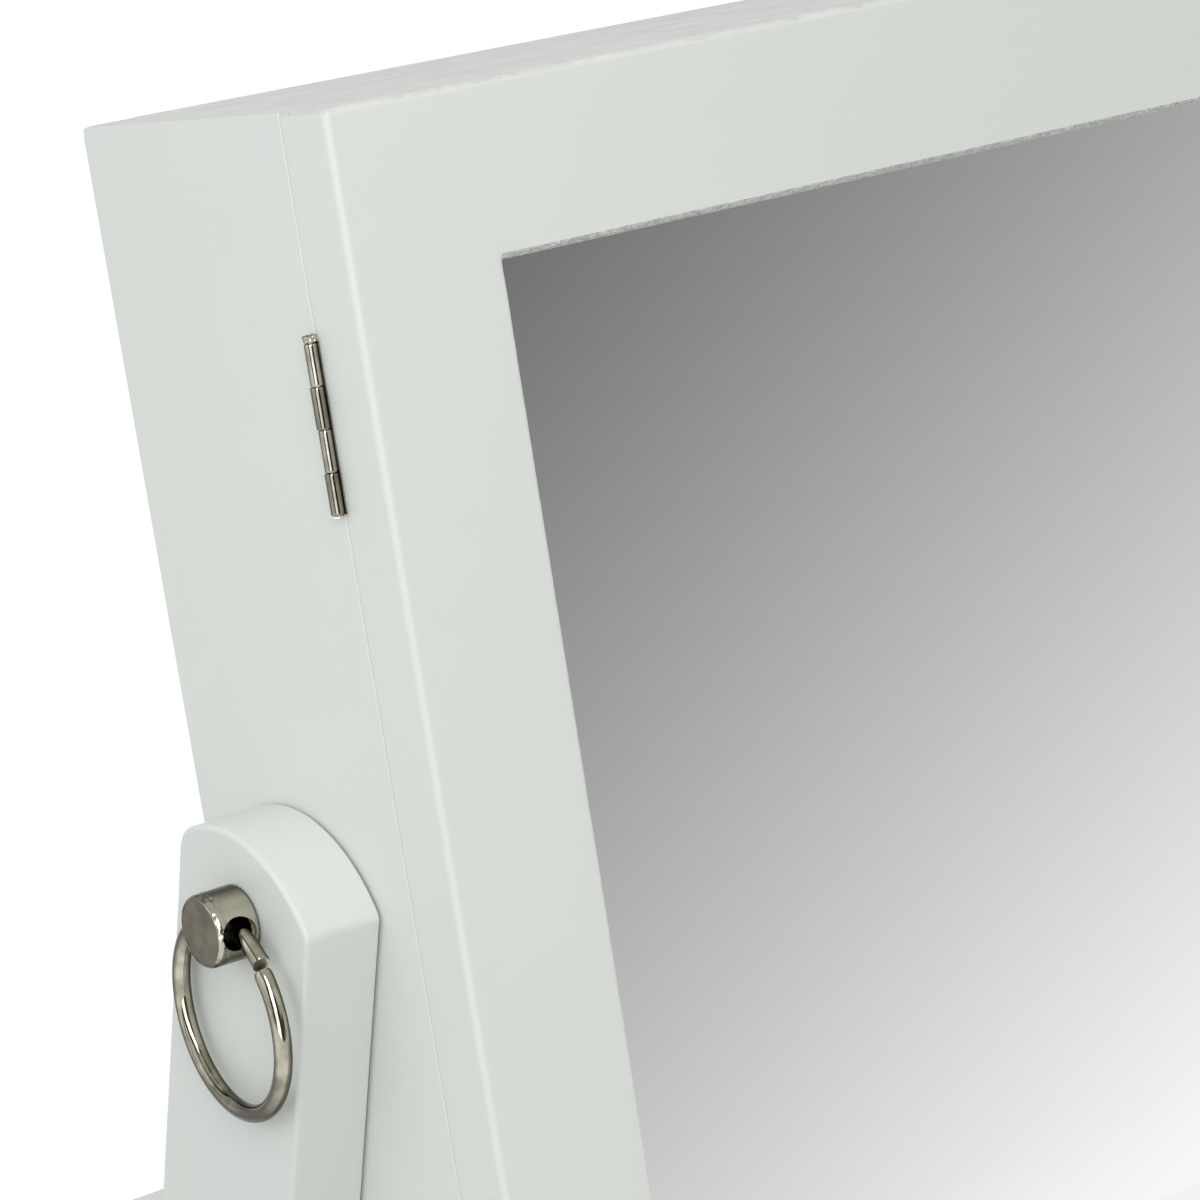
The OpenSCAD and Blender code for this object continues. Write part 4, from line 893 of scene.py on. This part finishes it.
def carcass_sides():
    outline = rectangle((CARCASS_FRONT - SEAM_FILL, CARCASS_BACK), (CAB_BOTTOM, CAB_TOP), (0.8, 2.4))
    front_r, back_r, level_r = 0.6, 1.4, 0.35
    radii = []
    for y, z in outline:
        upright_edge = abs(z - CAB_MIDDLE) < HEIGHT / 2 - 0.8
        radii.append((front_r if y < 0 else back_r) if upright_edge else level_r)
    round_the_bore = [(1, -8), (1, 8), (2, -8), (2, 8)]
    round_the_seats = [(2, z + rise) for z in HINGE_SEATS.values() for rise in (-1.5, HINGE_L + 1.5)]
    for side, word in ((-1, "left"), (1, "right")):
        def place(x, y, z):
            return leaning(side * x, y, z)
        rings = [(INNER_X, outline)] + rounded_end(outline, HALF_W, -1, radii, 6)[::-1]
        board = loft("painted_carcass_side_" + word, rings, place)
        scored(board, leaning, round_the_bore + [(1, CARCASS_FRONT + 1.5)] + round_the_seats)
        cutters = [
            turned("bore", [(INNER_X - 1, PIVOT_BORE_R), (HALF_W + 1, PIVOT_BORE_R)], place, 48),
            block("panel_seat", (INNER_X - 1, INNER_X + REBATE), (CARCASS_BACK - BACK_T, CARCASS_BACK + 1),
                  (INNER_BOTTOM - REBATE, INNER_TOP + REBATE), place),
        ]
        if side < 0:
            cutters += hinge_seats((CARCASS_FRONT - 1, CARCASS_FRONT + LEAF_T))
        cut_away(board, cutters)
        rounded_off(board, 28, "cabinet", "white_paint", PAINT, "carcass_side_" + word)
        sand_the_top(board)


def carcass_top_and_bottom():
    end_x, edge_r = INNER_X - 0.02, 0.7
    boards = (
        ("top", (INNER_TOP, CAB_TOP), (INNER_TOP - 1, INNER_TOP + REBATE)),
        ("bottom", (CAB_BOTTOM, INNER_BOTTOM), (INNER_BOTTOM - REBATE, INNER_BOTTOM + 1)),
    )
    for word, z, rebate_z in boards:
        outline = rectangle((CARCASS_FRONT - SEAM_FILL, CARCASS_BACK), z, (edge_r, edge_r), 4)
        board = loft("painted_carcass_" + word, [(-end_x, outline), (end_x, outline)], leaning)
        rebate_y = (CARCASS_BACK - BACK_T, CARCASS_BACK + 1)
        cut_away(board, [block("panel_seat", (-INNER_X - 1, INNER_X + 1), rebate_y, rebate_z, leaning)])
        rounded_off(board, 28, "cabinet", "white_paint", PAINT, "carcass_" + word)
        if word == "top":
            sand_the_top(board)


def sand_the_top(board):
    """Gives the upper faces the sanded finish."""
    board.data.materials.append(SANDED_PAINT)
    up = (leaning(0, 0, 1) - leaning(0, 0, 0)).normalized()
    for face in board.data.polygons:
        if face.normal.dot(up) > 0.8 and leaning(0, 0, CAB_TOP - 3).dot(up) < face.center.dot(up):
            face.material_index = 1


# Door frame: one painted board, routed out for the mirror
def frame_profile():
    """The frame's section as (distance in from the outer edge, Y)."""
    front_r, inner_r, back_r = FRAME_FRONT_R, FRAME_INNER_R, FRAME_BACK_R
    lip_y = DOOR_FRONT + LIP_T
    profile = [(back_r, DOOR_BACK)]
    for a in quarter(4)[1:]:
        profile.append((back_r * (1 - math.sin(a)), DOOR_BACK - back_r * (1 - math.cos(a))))
    profile += [(0.0, DOOR_BACK - 3.0), (0.0, DOOR_FRONT + front_r + 1.0)]
    for a in quarter(7):
        profile.append((front_r * (1 - math.cos(a)), DOOR_FRONT + front_r * (1 - math.sin(a))))
    profile += [(front_r + 1.0, DOOR_FRONT), (FRAME_W - inner_r - 1.0, DOOR_FRONT)]
    for a in quarter(6):
        profile.append((FRAME_W - inner_r * (1 - math.sin(a)), DOOR_FRONT + inner_r * (1 - math.cos(a))))
    return profile + [(FRAME_W, lip_y), (FRAME_W - LIP_W, lip_y), (FRAME_W - LIP_W, DOOR_BACK)]


def frame_stations(profile):
    """The section carried round the four sides in small steps, with mitred corners, as (x, z, y)."""
    left = DOOR_SET_IN - HALF_W
    corners = [(left, CAB_BOTTOM), (HALF_W, CAB_BOTTOM), (HALF_W, CAB_TOP), (left, CAB_TOP)]
    inward = [(1, 1), (-1, 1), (-1, -1), (1, -1)]
    stations = []
    for k in range(4):
        a, b = corners[k], corners[(k + 1) % 4]
        ia, ib = inward[k], inward[(k + 1) % 4]
        steps = 420 if k % 2 else 360
        for i in range(steps):
            t = i / steps
            station = []
            for u, y in profile:
                x, z = ((a[m] + ia[m] * u) * (1 - t) + (b[m] + ib[m] * u) * t for m in (0, 1))
                station.append((x, z, y))
            stations.append(station)
    return stations


def door_frame():
    profile = frame_profile()
    stations = frame_stations(profile)
    points = []
    for station in stations:
        for (u, _), (x, z, y) in zip(profile, station):
            if FRAME_W - FRAME_INNER_R - 0.5 < u and y < DOOR_FRONT + FRAME_INNER_R + 0.1:
                level = abs(z - CAB_MIDDLE) > abs(x) and abs(abs(z - CAB_MIDDLE) - HEIGHT / 2 + u) < 0.01
                lump = noise.noise(Vector((x, z, y)) * 0.16) + 0.9 * noise.noise(Vector((x, z, y)) * 1.1)
                share = min(1.0, (u - FRAME_W + FRAME_INNER_R + 0.5) / 0.8)
                y += (0.22 if level else 0.08) * lump * share
            if u < FRAME_FRONT_R + 0.5 and y < DOOR_FRONT + FRAME_FRONT_R:
                y += 0.05 * noise.noise(Vector((x, z, 0.0)) * 0.08)
            points.append(leaning(x, y, z))
    door = mesh_piece("painted_door_frame", points, bands(len(stations), len(profile), closed=True))
    cutters = [
        block("strike_seat", STRIKE_X, (DOOR_BACK - STRIKE_T, DOOR_BACK + 1), STRIKE_Z, leaning),
        turned("knob_screw_seat", [(DOOR_BACK - 2.8, 4.1), (DOOR_BACK + 1, 4.1)],
               towards_y(leaning, DOOR_KNOB_X, 0, CAB_MIDDLE), 40),
    ]
    cut_away(door, cutters + hinge_seats((DOOR_BACK - LEAF_T, DOOR_BACK + 1)))
    rounded_off(door, 30, "door", "white_paint", PAINT, "door_frame")
    rout_and_sand(door)


def rout_and_sand(door):
    """Gives the level edges round the mirror the routed finish, with its painted light and shade, and the
    top the sanded one.
    """
    door.data.materials.append(ROUTED_PAINT_LIGHT_AND_SHADE)
    door.data.materials.append(SANDED_PAINT)
    c, s = math.cos(LEAN), math.sin(LEAN)
    for face in door.data.polygons:
        x, y, z = face.center / MM
        z -= PIVOT_Z
        y, z = y * c - z * s, y * s + z * c
        from_level, from_side = min(CAB_TOP - z, z - CAB_BOTTOM), HALF_W - abs(x)
        on_edge = from_level > FRAME_W - FRAME_INNER_R - 0.02 and from_side > FRAME_W
        near = min(from_side, from_level) < FRAME_W + 0.5 and y < DOOR_FRONT + FRAME_INNER_R + 0.4
        if on_edge and near:
            face.material_index = 1
        if z > CAB_TOP - 0.9:
            face.material_index = 2


# Necklace hooks: wire bent down into a cup, each with a collar against the bar
def necklace_hooks():
    first, last = -LINED_X + HOOK_INSET, DIVIDER_X[0] - HOOK_INSET
    bar_y = LINED_BACK - BAR_D
    bend_r, stem = 1.5, 2.5
    cup_y = bar_y - stem - bend_r - HOOK_R
    hooks = []
    for i in range(NECK_HOOKS):
        x = first + (last - first) * i / (NECK_HOOKS - 1)
        path = [Vector((x, y, HOOK_Z)) for y in (bar_y + BAR_D / 2, bar_y, bar_y - stem)]
        for k in range(1, 9):
            a = math.pi / 2 * k / 8
            y, z = bar_y - stem - bend_r * math.sin(a), HOOK_Z - bend_r + bend_r * math.cos(a)
            path.append(Vector((x, y, z)))
        for k in range(1, 33):
            a = math.pi * k / 32
            y, z = cup_y + HOOK_R * math.cos(a), HOOK_Z - bend_r - HOOK_R * math.sin(a)
            path.append(Vector((x, y, z)))
        path += [Vector((x, cup_y - HOOK_R, HOOK_Z - drop)) for drop in (0.5, 0.1)]
        hooks.append(wire("hook", path, HOOK_WIRE_R, leaning, 16, lambda t, a: 0.72 if t > 0.99 else 1.0))
        collar = [(-1.0, HOOK_WIRE_R), (-1.0, 1.2), (-0.8, 1.4), (0.0, 1.4), (0.0, HOOK_WIRE_R)]
        hooks.append(turned("collar", collar, towards_y(leaning, x, bar_y, HOOK_Z), 32))
    grouped("cup_hooks", hooks, 35, "cabinet", "nickel", NICKEL, "necklace_hooks")


# Velvet: boards wrapped in cloth, with soft edges
def wrapped_board(name, x, y, z, r, body, node):
    outline = [(y[0], z[0]), (y[1], z[0]), (y[1], z[1]), (y[0], z[1])]
    board = rounded_slab(name, outline, x[0], x[1], (r, r), leaning, 4)
    placed(board, body, "velvet", VELVET, node)


def linings():
    fit, panel_fit = 0.1, 0.3
    depth = (CARCASS_FRONT + 1.5, LINED_BACK)
    height = (INNER_BOTTOM + fit, INNER_TOP - fit)
    wrapped_board("velvet_lining_back", (-INNER_X + fit, INNER_X - fit),
                  (LINED_BACK, LINED_BACK + LINING_T), height, 0.5, "cabinet", "velvet_back")
    for side, word in ((-1, "left"), (1, "right")):
        width = sorted((side * LINED_X, side * INNER_X))
        wrapped_board("velvet_lining_" + word, width, depth, height, 0.5, "cabinet", "velvet_" + word)
    wrapped_board("velvet_lining_floor", (-LINED_X, LINED_X), depth,
                  (INNER_BOTTOM, INNER_BOTTOM + LINING_T), 0.5, "cabinet", "velvet_floor")
    wrapped_board("ring_cushion_board", RING_BOARD_X, RING_BOARD_Y, RING_BOARD_Z,
                  1.0, "cabinet", "ring_board")
    wrapped_board("velvet_door_panel", (-POCKET_X + panel_fit, POCKET_X - panel_fit),
                  (PANEL_FRONT, PANEL_BACK), (POCKET_BOTTOM + panel_fit, POCKET_TOP - panel_fit),
                  0.8, "door", "door_velvet")


# Ring cushion: foam rolls in velvet
def cushion_roll(i):
    """Roll i from below, crowned between its pinched ends and flat against its board."""
    sides, steps = 28, 40
    x0, x1 = RING_BOARD_X[0] + 2, RING_BOARD_X[1] - 2
    z = RING_BOARD_Z[0] + 2 + (i + 0.5) * ROLL_PITCH
    points = []
    for k in range(steps + 1):
        x = x0 + (x1 - x0) * k / steps
        end = min(x - x0, x1 - x)
        swell = max(math.sqrt(1 - (1 - end / 5.0) ** 2) if end < 5 else 1.0, 0.12)
        for j in range(sides):
            a = 2 * math.pi * j / sides
            fold = noise.noise(Vector((x * 0.09, math.cos(a) + i * 3.1, math.sin(a))))
            r = ROLL_R * (1 + 0.03 * fold)
            depth = min(ROLL_Y + r * swell * math.cos(a), RING_BOARD_Y[0] - 0.05)
            points.append(leaning(x, depth, z + min(6.72, r * 1.02) * swell * math.sin(a)))
    return mesh_piece("roll", points, bands(steps + 1, sides) + end_faces(len(points), sides))


def ring_cushion():
    rolls = [cushion_roll(i) for i in range(ROLLS)]
    cushion = grouped("ring_cushion_rolls", rolls, 60, "cabinet", "velvet", VELVET, "ring_cushion")


# Turned and pressed small parts: each profile gives (along the axis, radius)
def bracelet_pegs():
    profile = [
        (0.0, 4.0), (0.6, 4.35), (1.2, 4.05), (1.6, 4.0), (36.1, 4.0), (36.5, 4.0), (38.0, 4.6), (38.4, 6.0),
        (39.0, 7.0), (39.8, 7.5), (40.6, 7.35), (41.5, 6.4), (42.0, 4.5), (42.0, 0.02),
    ]
    pegs = []
    for i in range(PEGS):
        x = DIVIDER_X[1] + (LINED_X - DIVIDER_X[1]) * (i + 0.5) / PEGS
        pegs.append(turned("peg", profile, towards_y(leaning, x, LINED_BACK, PEG_Z, -1), 64))
    grouped("turned_bracelet_pegs", pegs, 30, "cabinet", "white_paint", PAINT, "bracelet_pegs")


def door_knob():
    profile = [
        (0.0, 5.3), (0.3, 5.5), (1.3, 5.4), (2.0, 4.6), (2.8, 3.7), (5.0, 3.4), (8.0, 3.6), (10.0, 4.6),
        (11.0, 5.9), (11.6, 6.7), (12.4, 7.0), (13.4, 7.0), (14.6, 6.6), (15.8, 5.3), (16.6, 3.2),
        (16.95, 1.2), (17.0, 0.02),
    ]
    knob = turned("turned_door_knob", profile,
                  towards_y(leaning, DOOR_KNOB_X, DOOR_FRONT, CAB_MIDDLE, -1), 72)
    placed(knob, "door", "nickel", NICKEL, "door_knob")


def screw_caps():
    profile = [
        (-1.6, 3.7), (0.0, 3.75), (0.02, 5.6), (0.2, 5.75), (0.55, 5.6), (0.85, 5.0), (0.98, 3.6),
        (1.0, 0.02),
    ]
    caps = []
    for side in (-1, 1):
        for y, z in CAP_PLACES:
            caps.append(turned("cap", profile, lambda along, u, v: upright(
                side * (STAND_OUTER + along), y + u, z + v), 48))
    grouped("pressed_screw_caps", caps, 30, "stand", "white_cap", CAP_PLASTIC, "screw_caps")


def back_panel_screws():
    from_edge = REBATE / 2
    x = INNER_X + from_edge
    places = [(sx, sz) for sx in (x, -x) for sz in (INNER_TOP - 30, CAB_MIDDLE, INNER_BOTTOM + 30)]
    places += [(0, INNER_TOP + from_edge), (0, INNER_BOTTOM - from_edge)]
    profile = [(-2.0, 1.0), (0.0, 1.1), (0.0, 2.1), (0.3, 2.2), (0.9, 1.9), (1.3, 1.2), (1.4, 0.02)]
    heads = [turned("head", profile, towards_y(leaning, sx, CARCASS_BACK, sz), 40) for sx, sz in places]
    grouped("pan_head_screws", heads, 30, "cabinet", "screw_steel", SCREW_STEEL, "back_panel_screws")


side_boards()
carcass_sides()
carcass_top_and_bottom()
door_frame()
clamp_knobs()
pull_rings()
hinges()
necklace_hooks()
linings()
ring_cushion()
bracelet_pegs()
door_knob()
screw_caps()
back_panel_screws()


# Finishes of the solids that are carried over as they are
FINISHES = {
    PAINT: ["back_panel", "shelf", "divider", "guard_strips", "necklace_bar", "panel_beads",
            "upper_earring_rail", "lower_earring_rail"],
    STAND_PAINT: ["base_board", "front_rail", "back_rail"],
    CAP_PLASTIC: ["magnetic_catch"],
    NYLON: ["left_pivot_washer", "right_pivot_washer"],
    NICKEL: ["earring_rail_posts", "strike_screws"],
    SCREW_STEEL: ["stand_screws", "catch_screws", "door_knob_screw", "strike_plate"],
    FERRITE: ["catch_magnet"],
    BRASS: ["left_threaded_insert", "right_threaded_insert"],
    BEECH: ["carcass_dowels"],
    HARDBOARD: ["mirror_backing"],
    MIRROR: ["mirror_glass"],
    FELT: ["base_felt"],
}
for material, names in FINISHES.items():
    for name in names:
        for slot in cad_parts[name].material_slots:
            slot.material = material


# Floor, room and lamps, in metres
def stage():
    """A pale floor that looks white, to the eye and in shiny pieces, and keeps the object's shadow."""
    half = 4.0
    corners = [(-half, -half, 0), (half, -half, 0), (half, half, 0), (-half, half, 0)]
    floor = mesh_piece("floor", corners, [(0, 1, 2, 3)])
    material = bpy.data.materials.new("pale_floor")
    material.use_nodes = True
    tree = material.node_tree
    tree.nodes.clear()
    base = shader(tree, "ShaderNodeBsdfDiffuse", {"Color": (0.55, 0.55, 0.55)})
    rays = shader(tree, "ShaderNodeLightPath").outputs
    shone = maths(tree, "MAXIMUM", rays["Is Glossy Ray"], rays["Is Transmission Ray"])
    seen = maths(tree, "MULTIPLY", rays["Is Camera Ray"], 0.58)
    glow = maths(tree, "ADD", seen, maths(tree, "MULTIPLY", shone, 0.52))
    glow = shader(tree, "ShaderNodeEmission", {"Color": (1.0, 1.0, 1.0), "Strength": glow})
    both = shader(tree, "ShaderNodeAddShader", {0: base.outputs[0], 1: glow.outputs[0]})
    shader(tree, "ShaderNodeOutputMaterial", {"Surface": both.outputs[0]})
    floor.data.materials.append(material)


def studio_wall(tree, turn, height):
    """The walls' tone by turn and height in degrees; turn 0 lies in front, and the mirror shows 20 to 50."""
    per_turn, per_height, level = 3.99, -8.29, 85.5
    tone = spread(tree, turn, 20.0, 50.0, 20.0 * per_turn, 50.0 * per_turn)
    tone = maths(tree, "ADD", tone, maths(tree, "MULTIPLY", height, per_height))
    tone = spread(tree, maths(tree, "ADD", tone, level), 76.0, 251.0, 0.298, 1.0)
    in_mirror = maths(tree, "POWER", tone, 2.2)
    in_mirror = maths(tree, "ADD", in_mirror, spread(tree, height, 18.0, 27.0, 0.0, 0.65))
    walls = stops(tree, spread(tree, turn, -180.0, 180.0, 0.0, 1.0), [
        (0.0, 0.3), (0.14, 0.26), (0.2, 0.1), (0.3, 0.07), (0.312, 0.02), (0.342, 0.02), (0.347, 1.0),
        (0.428, 1.0), (0.434, 0.02), (0.5, 0.02), (0.53, 0.05), (0.8, 0.24), (0.86, 0.34), (1.0, 0.34),
    ])
    panel_top = spread(tree, height, 34.0, 37.0, 2.5, 0.15)
    panel_foot = spread(tree, height, -6.0, -4.0, 0.4, 1.0)
    walls = mix_colour(tree, 1.0, walls, maths(tree, "MULTIPLY", panel_top, panel_foot), "MULTIPLY")
    front_start = spread(tree, turn, 0.0, 18.0, 0.0, 1.0)
    front_end = spread(tree, turn, 90.0, 110.0, 1.0, 0.0)
    colour = mix_colour(tree, maths(tree, "MULTIPLY", front_start, front_end), walls, in_mirror)
    colour = mix_colour(tree, spread(tree, height, 42.0, 55.0, 0.0, 1.0), colour, (0.7, 0.7, 0.7))
    return mix_colour(tree, spread(tree, height, -4.0, 0.0, 1.0, 0.0), colour, (1.0, 1.0, 1.0))


def room():
    """Even light for what is matt; what shines sees a studio with pale walls and dark gaps between them."""
    world = bpy.data.worlds.new("studio")
    bpy.context.scene.world = world
    world.use_nodes = True
    tree = world.node_tree
    tree.nodes.clear()
    rays = shader(tree, "ShaderNodeLightPath").outputs
    direction = shader(tree, "ShaderNodeTexCoord").outputs["Generated"]
    toward = shader(tree, "ShaderNodeSeparateXYZ", {"Vector": direction}).outputs
    degrees = 180 / math.pi
    height = maths(tree, "MULTIPLY", maths(tree, "ARCSINE", toward["Z"]), degrees)
    turn = maths(tree, "ARCTAN2", toward["X"], maths(tree, "MULTIPLY", toward["Y"], -1.0))
    turn = maths(tree, "MULTIPLY", turn, degrees)
    walls = studio_wall(tree, turn, height)
    shining = shader(tree, "ShaderNodeBackground", {"Color": walls, "Strength": 1.0})
    above = spread(tree, toward["Z"], 0.0, 1.0, 0.52, 0.93)
    ambient = shader(tree, "ShaderNodeBackground", {"Color": (0.98, 1.0, 0.99), "Strength": above})
    white = shader(tree, "ShaderNodeBackground", {"Color": (1.0, 1.0, 1.0), "Strength": 1.0})
    glossy = maths(tree, "MAXIMUM", rays["Is Glossy Ray"], rays["Is Transmission Ray"])
    light = shader(tree, "ShaderNodeMixShader", {0: glossy, 1: ambient.outputs[0], 2: shining.outputs[0]})
    both = shader(tree, "ShaderNodeMixShader", {
        0: rays["Is Camera Ray"], 1: light.outputs[0], 2: white.outputs[0]})
    shader(tree, "ShaderNodeOutputWorld", {"Surface": both.outputs[0]})


def softbox(name, place, target, size, power, colour):
    data = bpy.data.lights.new(name, "AREA")
    data.shape = "RECTANGLE"
    data.size, data.size_y = size
    data.energy = power
    data.color = colour
    lamp = bpy.data.objects.new(name, data)
    bpy.context.scene.collection.objects.link(lamp)
    lamp.location = place
    lamp.rotation_euler = (Vector(target) - Vector(place)).to_track_quat("-Z", "Y").to_euler()


stage()
room()
softbox("front_left_softbox", (-0.47, -0.46, 0.75), (-0.1, -0.05, 0.3), (0.34, 0.5), 2.25, (1.0, 0.97, 0.94))
softbox("left_fill", (-0.95, 0.15, 0.5), (-0.1, 0, 0.25), (0.8, 0.6), 1.35, (0.93, 1.0, 0.965))

bpy.context.scene.view_settings.view_transform = "Standard"
